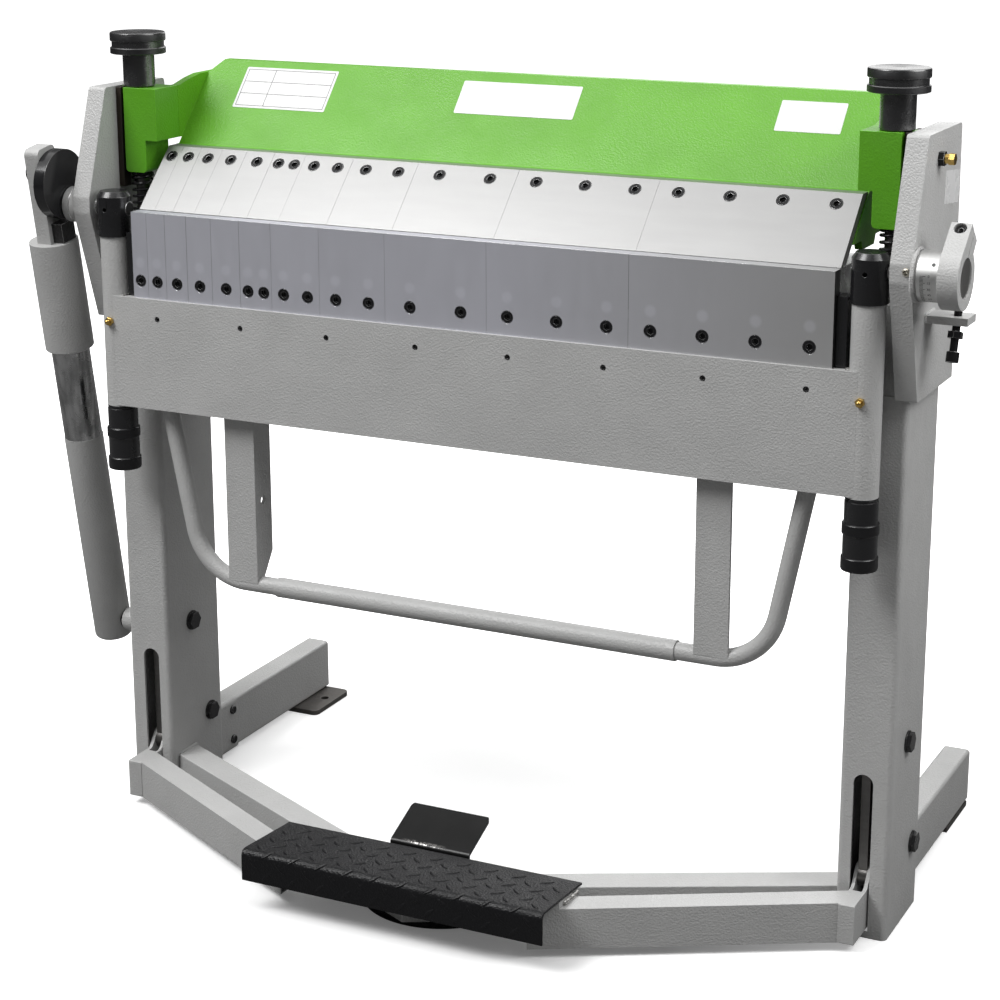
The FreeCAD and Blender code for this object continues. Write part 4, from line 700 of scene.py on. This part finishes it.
def bead(corners, radius):
    """Rippled weld bead along a path of corners."""
    step, end_taper = radius * 0.31, 0.6
    points = []
    for start, end in zip(corners, corners[1:]):
        start, end = Vector(start), Vector(end)
        count = max(2, round((end - start).length / step))
        points += [start.lerp(end, k / count) for k in range(count)]
    points.append(Vector(corners[-1]))
    radii = []
    for i in range(len(points)):
        wave = 0.5 + 0.5 * math.cos(math.pi * i)
        drift = 0.5 + 0.5 * math.sin(i * 0.37 + len(points))
        radii.append(radius * (0.82 + 0.14 * wave + 0.10 * drift))
    radii[0] *= end_taper
    radii[-1] *= end_taper
    return tube(points, radii, 8)


def arch(first, last):
    """Corners of a weld that goes up, over and down between two places."""
    foot, top = first[2], last[2]
    return (first, (*first[:2], top), last, (*last[:2], foot))


def flat_plate(centre, across, up, width, height, thick, corner=2.0):
    """Thin plate on a flat face, its size and rounded corners in millimetres."""
    outward = across.cross(up).normalized()
    points = []
    for sx, sy, first in ((1, 1, 0), (-1, 1, 90), (-1, -1, 180), (1, -1, 270)):
        cx, cy = sx * (width / 2 - corner), sy * (height / 2 - corner)
        for k in range(5 if corner else 1):
            angle = math.radians(first + k * 22.5)
            points.append((cx + corner * math.cos(angle), cy + corner * math.sin(angle)))
    vertices = []
    for level in (-0.02 * MM, thick):
        vertices += [centre + across * a * MM + up * b * MM + outward * level for a, b in points]
    return vertices, skin(len(points), 2)


def replace_turned(node, name, body, profile, steps, *materials):
    """Turned piece with knurled bands in place of an upright CAD node."""
    low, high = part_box(node)
    centre = ((low.x + high.x) / 2, (low.y + high.y) / 2, low.z)
    piece = make_piece(name, body, lathe(profile, centre, steps=steps), "black_steel", *materials)
    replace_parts(piece, node)


class BRAKE_OT_finishes(bpy.types.Operator):
    """Build every finish of the machine"""

    bl_idname = "brake.finishes"
    bl_label = "Finishes"

    def execute(self, context):
        for group in (orange_peel_group, ground_grain_group, smudges_group, knurl_group):
            group()
        build_paints(context.scene.brake_paint)
        build_blacks(context.scene.brake_steel, context.scene.brake_detail.knurl)
        build_steels(context.scene.brake_steel)
        return {"FINISHED"}


class BRAKE_OT_painted_steel(bpy.types.Operator):
    """Paint the stand, the leaf and the clamping beam"""

    bl_idname = "brake.painted_steel"
    bl_label = "Painted steel"

    def execute(self, context):
        edge = context.scene.brake_steel.soft_edge
        dress(
            "Stand paint", "Stand paint edge", edge,
            "column_left", "column_right", "side_plate_left", "side_plate_right", "bed_beam",
            "rear_foot_left", "rear_foot_right", "foot_brackets", "base_spreader", "stop_bar",
            "damper_anchor", "slide_tubes", "handle_struts", "bow_handle", "grip_sleeve",
            "pedal_arm_left", "pedal_arm_right", "stop_collar", "hinge_bushes",
        )
        # The apron's rounded edges take the dark copy of the stand paint: painted shade of the gap under the
        # blade.
        dress("Stand paint", "Painted shade edge", edge * 0.7, "apron")
        dress("Beam paint", "Beam paint edge", edge, "upper_beam")
        dress("Block paint", "Block paint edge", edge, "end_block_left", "end_block_right")
        dress("Strut paint", "Stand paint edge", edge, "damper_head")
        return {"FINISHED"}


class BRAKE_OT_ground_steel(bpy.types.Operator):
    """Grind the fingers, the jaw and the bright shafts"""

    bl_idname = "brake.ground_steel"
    bl_label = "Ground steel"

    def execute(self, context):
        edge = context.scene.brake_steel.edge
        dress("Clamp steel", "Clamp steel edge", edge * 0.6, "clamping_segments")
        dress("Blade steel", "Blade steel edge", edge * 0.6, "bending_segments")
        dress("Jaw steel", "Blade steel edge", edge, "lower_jaw")
        dress("Disc black", "Blade steel edge", edge * 2, "lever_pins")
        dress("Shaft paint", "Blade steel edge", edge * 2, "pivot_shaft_left")
        dress("Shaft steel", "Blade steel edge", edge, "pivot_shaft_right")
        dress("Rod steel", "Dark steel", edge, "pull_rod_left", "pull_rod_right")
        dress("Bare plate", "Bare plate", edge, "floor_plates")
        dress("Brass", "Brass", edge, "gib_screws")
        dress("Brass", "Brass", edge * 0.5, "grease_nipples")
        dress("Zinc", "Zinc", edge * 0.4, "pointer_screw")
        dress("Dial metal", "Dial metal", edge, "angle_ring")
        return {"FINISHED"}


class BRAKE_OT_black_steel(bpy.types.Operator):
    """Blacken the screws, heads, nuts and small plates"""

    bl_idname = "brake.black_steel"
    bl_label = "Black steel"

    def execute(self, context):
        edge = context.scene.brake_steel.edge
        dress(
            "Screw black", "Screw rim", edge * 0.8,
            "bending_screws", "clamping_screws", "apron_screws", "collar_screw", "foot_screws",
            "stop_bolt", "stop_nut", "gib_nuts",
        )
        dress(
            "Black oxide", "Black oxide edge", edge,
            "hinge_post_left", "hinge_post_right", "frame_bolts", "blade_carrier",
        )
        dress("Disc black", "Black oxide edge", edge, "crank_disc")
        dress("Worn black with highlight", "Worn black with highlight", edge, "release_pedal")
        dress("Tread black", "Dark steel", edge, "latch_base")
        dress("Gib steel", "Dark steel", edge, "gib_strips")
        return {"FINISHED"}


class BRAKE_OT_knobs(bpy.types.Operator):
    """Turn the two handwheels with their knurled rims"""

    bl_idname = "brake.knobs"
    bl_label = "Handwheels"

    def execute(self, context):
        sleeve_r, sleeve_h, groove, edge = 22.2, 46.6, 2.4, 1.0
        lower_rim_h, groove_h = 9.2, 8.4
        neck = sleeve_h - 0.3
        lower = neck + lower_rim_h
        upper = lower + groove_h
        for side, _ in SIDES:
            node = "knob_" + side
            low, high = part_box(node)
            rim_r, top = (high.x - low.x) / 2 / MM, (high.z - low.z) / MM
            profile = (
                (0, 0.5), (sleeve_r - 2, 0.5), (sleeve_r - 1.5, 0), (sleeve_r, 1.5), (sleeve_r, neck),
                (rim_r - edge - 0.6, neck), (rim_r - 0.6, neck + 0.4), (rim_r, neck + edge, 1),
                (rim_r, lower - edge), (rim_r - edge, lower), (rim_r - groove, lower),
                (rim_r - groove, upper), (rim_r - edge, upper), (rim_r, upper + edge, 1),
                (rim_r, top - 2.2), (rim_r - 0.7, top - 0.7), (rim_r - 2.2, top), (rim_r - 9, top),
                (rim_r - 9.6, top - 0.25), (9, top - 0.25), (7.5, top - 0.8), (0, top - 0.8),
            )
            materials = ("Handwheel black", "Knurled rim " + side)
            replace_turned(node, "handwheel_" + side, node, profile, 96, *materials)
        return {"FINISHED"}


class BRAKE_OT_height_nuts(bpy.types.Operator):
    """Turn the two height nuts with knurled bands"""

    bl_idname = "brake.height_nuts"
    bl_label = "Height nuts"

    def execute(self, context):
        bore = 12.3
        for side, _ in SIDES:
            node = "knurled_nut_" + side
            low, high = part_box(node)
            nut_r, height = (high.x - low.x) / 2 / MM, (high.z - low.z) / MM
            waist = nut_r - 1.6
            neck = waist - 0.6
            profile = (
                (bore, 0), (nut_r - 2.5, 0), (nut_r - 0.7, 0.7), (nut_r, 2.5, 1), (nut_r, 17),
                (nut_r - 0.6, 17.8), (waist, 18.4), (waist, 46), (waist + 0.8, 47.2), (nut_r, 48, 1),
                (nut_r, 60.5), (nut_r - 0.6, 61.3), (neck, 62), (neck, height - 5),
                (waist - 1.8, height - 4), (waist - 1.8, height - 2.4), (neck, height - 1.6),
                (waist - 1.2, height), (bore, height), (bore, 0),
            )
            materials = ("Black oxide", "Knurled band " + side)
            replace_turned(node, "grip_nut_" + side, "height_nut_" + side, profile, 72, *materials)
        return {"FINISHED"}


class BRAKE_OT_return_springs(bpy.types.Operator):
    """Coil the two return springs at rest; they are not made to stretch as the beam lifts"""

    bl_idname = "brake.return_springs"
    bl_label = "Return springs"

    def execute(self, context):
        turns = context.scene.brake_detail.spring_turns
        wire = context.scene.brake_detail.spring_wire / 2
        low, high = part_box("return_springs")
        mean = (high.y - low.y) / 2 - wire
        middle = Vector((high.x - mean - wire, (low.y + high.y) / 2, 0))
        steps, closed, end_share = 36, 0.9, 0.07
        springs = []
        for name, sign in SIDES:
            points = []
            for i in range(turns * steps + 1):
                turn = i / steps
                rise = min(max((turn - closed) / (turns - 2 * closed), 0.0), 1.0)
                flat = (min(turn, closed) + max(turn - turns + closed, 0.0)) / closed
                share = end_share * flat / 2 + (1 - end_share) * rise
                angle = 2 * math.pi * turn
                points.append(Vector((
                    sign * middle.x + mean * math.cos(angle), middle.y + mean * math.sin(angle),
                    low.z + wire + (high.z - low.z - 2 * wire) * share,
                )))
            shape = tube(points, [wire] * len(points))
            spring = make_piece("coil_" + name, None, shape, "black_steel", "Black oxide")
            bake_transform(spring)
            springs.append(spring)
        for spring in springs:
            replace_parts(spring, "return_springs")
        return {"FINISHED"}


class BRAKE_OT_tread(bpy.types.Operator):
    """Bend the chequered foot plate"""

    bl_idname = "brake.tread"
    bl_label = "Tread"

    def execute(self, context):
        low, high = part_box("tread")
        half, back = high.x, high.y
        proud, edge, bend = 1.3 * MM, 0.8 * MM, 11.0 * MM
        thick = 5.0 * MM - proud
        slope = math.radians(4.8)
        rise_of, run_of = math.sin(slope), math.cos(slope)
        middle_y, middle_z = low.y + bend, high.z - bend
        back_z = middle_z + (bend + (middle_y - back) * rise_of) / run_of
        flat_run = (back - middle_y - bend * rise_of) * run_of
        flat_run += (middle_z + bend * run_of - back_z) * rise_of
        arc_run = bend * (math.pi / 2 + slope)
        lip_start = flat_run + arc_run
        total = lip_start + middle_z - low.z

        def surface(s, rise):
            """Point of the bent plate: s along its outer face, rise above it."""
            level = rise - proud
            if s < flat_run:
                return back - s * run_of + level * rise_of, back_z + s * rise_of + level * run_of
            if s < lip_start:
                angle = (s - flat_run) / bend - slope
                radius = bend + level
                return middle_y - radius * math.sin(angle), middle_z + radius * math.cos(angle)
            return low.y - level, middle_z - (s - lip_start)

        stops = [0.0] + [flat_run + arc_run * k / 10 for k in range(11)] + [total]
        vertices = []
        for x, shrink in ((-half, edge), (-half + edge, 0), (half - edge, 0), (half, edge)):
            section = [surface(s, -shrink) for s in stops]
            section += [surface(s, shrink - thick) for s in reversed(stops)]
            vertices += [(x, y, z) for y, z in section]
        shapes = [(vertices, skin(2 * len(stops), 4, flip=True))]
        pitch, length, margin = context.scene.brake_detail.chequer, 11.0 * MM, 8.8 * MM
        columns = int(2 * half / pitch)
        row_step = pitch * 0.40
        first_row = (flat_run + arc_run * 0.45) % row_step
        for row in range(int(total / row_step)):
            s = row * row_step + first_row
            lean = math.radians(-42 if row % 2 else 42)
            rise = 0.5 * MM if s > lip_start else proud
            for column in range(columns + 1):
                x = (column - columns / 2 + (row % 2) * 0.5) * pitch
                if abs(x) <= half - length and margin < s < total - margin:
                    shapes.append(self.lozenge(surface, x, s, lean, rise, length))
        plate = make_piece("chequer_tread", "pedal", joined(shapes), "black_steel", "Tread black")
        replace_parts(plate, "tread")
        return {"FINISHED"}

    @staticmethod
    def lozenge(surface, x, s, lean, rise, length):
        """One raised bar of the chequer pattern, open below."""
        width, count = 3.4 * MM, 12
        vertices = []
        for scale, level in ((1.0, 0.0), (0.86, 0.6), (0.55, 1.0)):
            for k in range(count):
                angle = 2 * math.pi * k / count
                along = length * math.cos(angle) * (scale if level < 1 else 0.8)
                across = width * math.sin(angle) * scale * (1 - 0.5 * abs(math.cos(angle)))
                run = s + along * math.sin(lean) + across * math.cos(lean)
                aside = x + along * math.cos(lean) - across * math.sin(lean)
                vertices.append((aside, *surface(run, rise * level)))
        return vertices, skin(count, 3)[1:]


class BRAKE_OT_balance_strut(bpy.types.Operator):
    """Bright rod, painted tube and lower bolt of the balance strut"""

    bl_idname = "brake.balance_strut"
    bl_label = "Balance strut"

    def execute(self, context):
        pivot, down = strut_line()
        low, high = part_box("damper_anchor")
        anchor = Vector((pivot.x, (low.y + high.y) / 2, (low.z + high.z) / 2))
        rod_top, tube_top, rod_r, tube_r, past = 187.0, 401.0, 27.5, 28.4, 30.0
        end = (anchor - pivot).length / MM + past
        inside = pivot.x + tube_r * 0.5 * MM
        reach = (low.x - inside) / MM
        parts = (
            ("strut_rod", "ground_steel", "Scuffed rod", pivot, down, 72, (
                (0, rod_top), (rod_r - 1, rod_top), (rod_r, rod_top + 1), (rod_r, tube_top + 3),
            )),
            ("strut_tube", "grey_paint", "Tube paint", pivot, down, 72, (
                (rod_r - 0.5, tube_top + 1), (rod_r + 0.2, tube_top), (tube_r - 0.2, tube_top),
                (tube_r, tube_top + 1.2), (tube_r, end - 6), (tube_r - 0.8, end - 3),
                (tube_r - 3, end - 0.8), (tube_r - 6, end), (0, end),
            )),
            ("strut_end_screw", "black_steel", "Black oxide", pivot + Vector((6 * MM, 0, 0)), down, 32, (
                (0, end - 1), (9, end - 1), (9, end + 2.5), (8, end + 4), (4.5, end + 4),
                (4.5, end + 2.2), (0, end + 2.2),
            )),
            ("strut_bolt", "black_steel", "Black oxide", (inside, anchor.y, anchor.z), (1, 0, 0), 40, (
                (0, 0), (10.5, 0), (10.5, reach - 4), (14, reach - 4), (14, reach - 1),
                (13, reach - 0.4), (0, reach - 0.4),
            )),
        )
        for name, slot, material, centre, axis, steps, profile in parts:
            shape = lathe(profile, centre, axis, steps)
            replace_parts(make_piece(name, "damper_tube", shape, slot, material), "damper_tube")
        return {"FINISHED"}


class BRAKE_OT_angle_scale(bpy.types.Operator):
    """Engrave the angle scale on the ring"""

    bl_idname = "brake.angle_scale"
    bl_label = "Angle scale"

    def execute(self, context):
        low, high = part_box("angle_ring")
        centre_y, centre_z = (low.y + high.y) / 2, (low.z + high.z) / 2
        radius = (high.z - low.z) / 2 + 0.06 * MM
        start, half_mark = math.radians(-9), 0.45
        mark_x, number_x, hole_x = (low.x + x * MM for x in (5.0, 16.0, 20.2))

        def on_ring(x, degrees):
            """Point just above the ring's face, at an angle of the scale."""
            angle = start + math.radians(degrees)
            return (x, centre_y - radius * math.cos(angle), centre_z - radius * math.sin(angle))

        shapes = []
        for degrees in range(0, 136, 3):
            ends = (mark_x, mark_x + (4.5 if degrees % 15 else 7.0) * MM)
            corners = [on_ring(x, degrees - half_mark) for x in ends]
            corners += [on_ring(x, degrees + half_mark) for x in reversed(ends)]
            shapes.append((corners, [[0, 1, 2, 3]]))
        for number in range(0, 136, 15):
            flat, faces = self.figure(str(number), 4.6 * MM)
            corners = [on_ring(number_x + x, number - math.degrees(y / radius)) for x, y in flat]
            shapes.append((corners, faces))
        hole_at, hole_r, count = -27, 2.6 * MM, 16
        corners = []
        for k in range(count):
            turn = 2 * math.pi * k / count
            lift = math.degrees(hole_r * math.sin(turn) / radius)
            corners.append(on_ring(hole_x + hole_r * math.cos(turn), hole_at + lift))
        shapes.append((corners, [list(range(count))]))
        make_piece("angle_scale", "leaf_posts", joined(shapes), "dial", "Black oxide")
        return {"FINISHED"}

    @staticmethod
    def figure(text, size):
        """Flat points and faces of a number, centred."""
        curve = bpy.data.curves.new("scale_number", "FONT")
        curve.body, curve.size = text, size
        curve.align_x = curve.align_y = "CENTER"
        carrier = bpy.data.objects.new("scale_number", curve)
        mesh = carrier.to_mesh()
        flat = [tuple(vertex.co.xy) for vertex in mesh.vertices]
        faces = [list(face.vertices) for face in mesh.polygons]
        carrier.to_mesh_clear()
        bpy.data.objects.remove(carrier)
        bpy.data.curves.remove(curve)
        return flat, faces


class BRAKE_OT_grease_points(bpy.types.Operator):
    """Screw in the grease nipples and the pointer of the scale"""

    bl_idname = "brake.grease_points"
    bl_label = "Grease nipples and pointer"

    def execute(self, context):
        low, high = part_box("grease_nipples")
        seat_y, inset = -24.6 * MM, 4.2 * MM
        hexagon = ((0, 0), (6.2, 0), (6.4, 0.5), (6.4, 4.6), (5.6, 5.4), (0, 5.4))
        head = (
            (3.0, 5.0), (3.0, 6.2), (2.2, 7.0), (2.2, 7.8), (3.2, 8.6), (3.3, 9.4), (2.4, 10.6),
            (1.0, 11.2), (0, 11.2),
        )
        for side, sign in SIDES:
            centre = (sign * (high.x - inset), seat_y, (low.z + high.z) / 2)
            shape = joined([lathe(hexagon, centre, (0, -1, 0), 6), lathe(head, centre, (0, -1, 0), 24)])
            nipple = make_piece("nipple_" + side, "apron", shape, "brass", "Brass")
            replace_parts(nipple, "grease_nipples")
        low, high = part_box("pointer_screw")
        front, back, drop = -23.4, -21.8, 1.0
        middle = (low.z + high.z) / 2 / MM - drop
        outline = (
            (599, -3.4), (603.5, -3.6), (607, -2.2), (611.6, -0.3), (607, 1.8), (603.5, 3.4), (599, 3.4),
        )
        vertices = [(x * MM, y * MM, (middle + z) * MM) for y in (front, back) for x, z in outline]
        shape = (vertices, skin(len(outline), 2, flip=True))
        make_piece("scale_pointer", "frame", shape, "chrome", "Zinc")
        return {"FINISHED"}


class BRAKE_OT_blank_plates(bpy.types.Operator):
    """Fix the blank plates on the beam and the right cheek"""

    bl_idname = "brake.blank_plates"
    bl_label = "Blank plates"

    def execute(self, context):
        thick = context.scene.brake_detail.plate
        across = Vector((1, 0, 0))
        foot, head = Vector((0, 107.7, 979.5)) * MM, Vector((0, 207.0, 1090.0)) * MM
        up = (head - foot).normalized()
        outward = across.cross(up).normalized()
        places = (
            ("rating_plate", -373.5, 102.0, 150.0, 70.0),
            ("front_plate", -9.5, 106.0, 178.0, 54.0),
            ("side_note_plate", 407.0, 105.0, 89.0, 48.0),
        )
        for name, x, distance, width, height in places:
            centre = foot + up * distance * MM + across * x * MM
            shape = flat_plate(centre, across, up, width, height, thick)
            make_piece(name, "clamp_beam", shape, "green_paint", "Plate white")
        x, distance = places[0][1:3]
        centre = foot + up * distance * MM + across * x * MM + outward * (thick + 0.03 * MM)
        wide, tall, rule = 142, 62, 0.9
        lines = [(0, along, wide, rule) for along in (tall / 2, -tall / 2, 10.3, -10.3)]
        lines += [(aside, 0, rule, tall) for aside in (-wide / 2, wide / 2, -26)]
        shapes = []
        for aside, along, width, height in lines:
            middle = centre + across * aside * MM + up * along * MM
            shapes.append(flat_plate(middle, across, up, width, height, 0.04 * MM, 0.0))
        make_piece("rating_plate_lines", "clamp_beam", joined(shapes), "black_steel", "Plate line")
        centre = Vector((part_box("side_plate_right")[1].x, 139.0 * MM, 987.0 * MM))
        along = Vector((0, 1, -0.10)).normalized()
        shape = flat_plate(centre, along, across.cross(along), 66.0, 41.0, thick)
        make_piece("cheek_plate", "frame", shape, "grey_paint", "Plate white")
        return {"FINISHED"}


class BRAKE_OT_welds(bpy.types.Operator):
    """Lay the weld beads of the stand, the leaf and the pedal"""

    bl_idname = "brake.welds"
    bl_label = "Welds"

    def execute(self, context):
        r = context.scene.brake_detail.weld
        places = (
            ("stand_welds", "frame", "grey_paint", "Stand paint", self.stand_beads(r)),
            ("leaf_welds", "apron", "grey_paint", "Stand paint", self.leaf_beads(r)),
            ("tube_welds", "apron", "ground_steel", "Bare weld", self.tube_beads(r)),
            ("tread_welds", "pedal", "ground_steel", "Bare weld", self.tread_beads(r)),
        )
        for name, body, slot, material, beads in places:
            make_piece(name, body, joined(beads), slot, material)
        return {"FINISHED"}

    @staticmethod
    def stand_beads(r):
        """Beads of the columns, the brackets, the stop bar, the anchor and the bush."""
        column_low, column_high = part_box("column_right")
        spread_low, spread_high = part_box("base_spreader")
        bracket_low, bracket_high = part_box("foot_brackets")
        bracket_wide, foot_gap, ring_gap = 46 * MM, 4 * MM, 1 * MM
        boss_sunk, bush_proud = 2 * MM, 1.8 * MM
        back, front, top = column_high.y, column_low.y, column_high.z
        tube_front, tube_back = spread_high.y - 43 * MM, spread_high.y - 1 * MM
        beads = []
        for _, sign in SIDES:
            inner, outer = sign * column_low.x, sign * column_high.x
            foot_in, foot_out = sign * (bracket_high.x - bracket_wide), sign * bracket_high.x
            beads += [
                bead(((inner, back, top), (outer, back, top)), r),
                bead(((outer, front + r, top), (outer, back - r, top)), r),
                bead(arch((inner, tube_front, spread_low.z), (inner, tube_back, spread_high.z)), r),
                bead(arch(
                    (foot_in, back, bracket_low.z + foot_gap), (foot_out, back, bracket_high.z),
                ), r * 0.9),
            ]
        cheek_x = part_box("side_plate_right")[1].x
        bar_low, bar_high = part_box("stop_bar")
        beads.append(bead(arch((cheek_x, *bar_low.yz), (cheek_x, *bar_high.yz)), r))
        low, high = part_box("damper_anchor")
        centre = (high.x - boss_sunk, (low.y + high.y) / 2, (low.z + high.z) / 2)
        beads.append(bead(ring(centre, (1, 0, 0), (high.z - low.z) / 2 + ring_gap), r * 1.4))
        low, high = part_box("hinge_bushes")
        centre = (cheek_x + bush_proud, 0, (low.z + high.z) / 2)
        beads.append(bead(ring(centre, (1, 0, 0), (high.z - low.z) / 2 + ring_gap), r))
        return beads

    @staticmethod
    def leaf_beads(r):
        """Beads along both sides of the handle's struts."""
        low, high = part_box("apron")
        foot, top, back = low.z + r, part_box("handle_struts")[1].z - r, high.y
        strut_edges = (330.8 * MM, 378.4 * MM)
        lines = [((sign * x, back, foot), (sign * x, back, top)) for _, sign in SIDES for x in strut_edges]
        return [bead(line, r * 0.8) for line in lines]

    @staticmethod
    def tube_beads(r):
        """Short bright beads where the slide tubes stand on the apron."""
        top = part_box("apron")[1].z
        path = ((526.5, -8.5), (527.0, -15.0), (530.5, -20.5))
        return [bead([(sign * x * MM, y * MM, top) for x, y in path], r * 0.75) for _, sign in SIDES]

    @staticmethod
    def tread_beads(r):
        """Bright beads between the tread and the pedal's arms."""
        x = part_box("tread")[1].x + r * 0.2
        path = ((-170.0, 73.5), (-148.0, 71.5), (-128.0, 71.5))
        return [bead([(sign * x, y * MM, z * MM) for y, z in path], r) for _, sign in SIDES]


class BRAKE_OT_studio(bpy.types.Operator):
    """Lay the floor and set the lights and the camera"""

    bl_idname = "brake.studio"
    bl_label = "Studio"

    def execute(self, context):
        scene = context.scene
        self.lay_floor(scene)
        self.hang_lights(scene)
        self.light_air(scene)
        self.set_camera(scene)
        return {"FINISHED"}

    @staticmethod
    def lay_floor(scene):
        """Plain round floor that shows white and throws little light back."""
        floor, bounce = scene.brake_studio.floor, scene.brake_studio.bounce
        tree, shader, position = new_material("Studio floor")
        seen = tree.nodes.new("ShaderNodeLightPath").outputs["Is Camera Ray"]
        base = blend_colour(tree, noise(tree, position, 3.0, 4.0), tone(floor, 0.985), tone(floor))
        away = vector_calc(tree, "LENGTH", position, output="Value")
        white = times(tree, seen, remap(tree, away, 0.35, 1.3, 0.12, 1.0))
        feed(tree, shader, {
            "Base Color": blend_colour(tree, seen, tone(floor, bounce), base),
            "Emission Color": blend_colour(tree, white, tone(grey(0.0)), tone(grey(1.0))),
            "Emission Strength": 1.0,
            "Roughness": 0.9,
            "Specular IOR Level": 0.1,
        })
        radius, count = 60.0, 96
        rim = ring((0, 0, 0), (0, 0, 1), radius, count)[:-1]
        mesh = bpy.data.meshes.new("studio_floor")
        mesh.from_pydata([tuple(point) for point in rim], [], [list(range(count))])
        mesh.materials.append(bpy.data.materials["Studio floor"])
        ground = bpy.data.objects.new("studio_floor", mesh)
        scene.collection.objects.link(ground)

    @staticmethod
    def hang_lights(scene):
        """Large soft lights, all turned to the middle of the machine."""
        studio = scene.brake_studio
        target = Vector((0, 0, 0.65))
        lights = (
            ("key_light", studio.key, 2.4, (-2.2, -2.6, 4.7)),
            ("fill_light", studio.fill, 2.4, (3.0, -0.5, 3.9)),
            ("side_light", studio.side, 0.9, (1.6, 0.15, 1.55)),
            ("top_light", studio.top, 6.0, (-0.8, 0.3, 4.4)),
            ("back_light", studio.back, 3.0, (-0.6, 4.2, 2.4)),
        )
        for name, power, size, place in lights:
            light = bpy.data.lights.new(name, "AREA")
            light.energy = power
            light.size = size
            lamp = bpy.data.objects.new(name, light)
            lamp.location = place
            lamp.rotation_euler = (target - Vector(place)).to_track_quat("-Z", "Y").to_euler()
            scene.collection.objects.link(lamp)

    @staticmethod
    def light_air(scene):
        """White air, dimmer near the floor, and plain white where the camera sees it."""
        world = bpy.data.worlds.new("Studio air")
        world.use_nodes = True
        tree = world.node_tree
        seen = tree.nodes.new("ShaderNodeLightPath").outputs["Is Camera Ray"]
        up = split(tree, tree.nodes.new("ShaderNodeTexCoord").outputs["Generated"])["Z"]
        strength = times(tree, remap(tree, up, 0.0, 0.7, 0.35, 1.0), scene.brake_studio.air)
        shown = add(tree, "ShaderNodeMix", {0: seen, 2: strength, 3: 1.05}, data_type="FLOAT").outputs[0]
        feed(tree, tree.nodes["Background"], {"Strength": shown, "Color": tone(grey(1.0))})
        scene.world = world
        scene.view_settings.view_transform = "Standard"

    @staticmethod
    def set_camera(scene):
        """Camera at the front right, a little above the beam."""
        place = (1.36472, -2.69321, 1.43115)
        down, turn = 15.043, 25.598
        view = bpy.data.cameras.new("photo_view")
        view.sensor_width = 36.0
        view.lens = scene.brake_studio.lens
        view.shift_x, view.shift_y = -0.01676, -0.0557
        camera = bpy.data.objects.new("photo_view", view)
        camera.location = place
        camera.rotation_euler = Euler((math.radians(90 - down), 0, math.radians(turn)))
        scene.collection.objects.link(camera)
        scene.camera = camera


class BRAKE_PT_panel(bpy.types.Panel):
    """Settings and steps of the brake"""

    bl_label = "Box and pan brake"
    bl_idname = "BRAKE_PT_panel"
    bl_space_type = "VIEW_3D"
    bl_region_type = "UI"
    bl_category = "Brake"

    def draw(self, context):
        for label, name, kind in SETTINGS:
            column = self.layout.column(heading=label)
            for field in kind.__annotations__:
                column.prop(getattr(context.scene, name), field)
        for operator in OPERATORS:
            self.layout.operator(operator.bl_idname)


SETTINGS = (
    ("Paint", "brake_paint", BrakePaint),
    ("Steel", "brake_steel", BrakeSteel),
    ("Detail", "brake_detail", BrakeDetail),
    ("Studio", "brake_studio", BrakeStudio),
)
OPERATORS = (
    BRAKE_OT_finishes, BRAKE_OT_painted_steel, BRAKE_OT_ground_steel, BRAKE_OT_black_steel,
    BRAKE_OT_knobs, BRAKE_OT_height_nuts, BRAKE_OT_return_springs, BRAKE_OT_tread,
    BRAKE_OT_balance_strut, BRAKE_OT_angle_scale, BRAKE_OT_grease_points, BRAKE_OT_blank_plates,
    BRAKE_OT_welds, BRAKE_OT_studio,
)


def register():
    """Add the settings, the steps and the panel."""
    for _, name, kind in SETTINGS:
        bpy.utils.register_class(kind)
        setattr(bpy.types.Scene, name, PointerProperty(type=kind))
    for kind in OPERATORS + (BRAKE_PT_panel,):
        bpy.utils.register_class(kind)


def unregister():
    """Take them away again."""
    for kind in reversed(OPERATORS + (BRAKE_PT_panel,)):
        bpy.utils.unregister_class(kind)
    for _, name, kind in reversed(SETTINGS):
        delattr(bpy.types.Scene, name)
        bpy.utils.unregister_class(kind)


def main():
    """Run every step in order."""
    register()
    for operator in OPERATORS:
        group, step = operator.bl_idname.split(".")
        getattr(getattr(bpy.ops, group), step)()


if __name__ == "__main__":
    main()
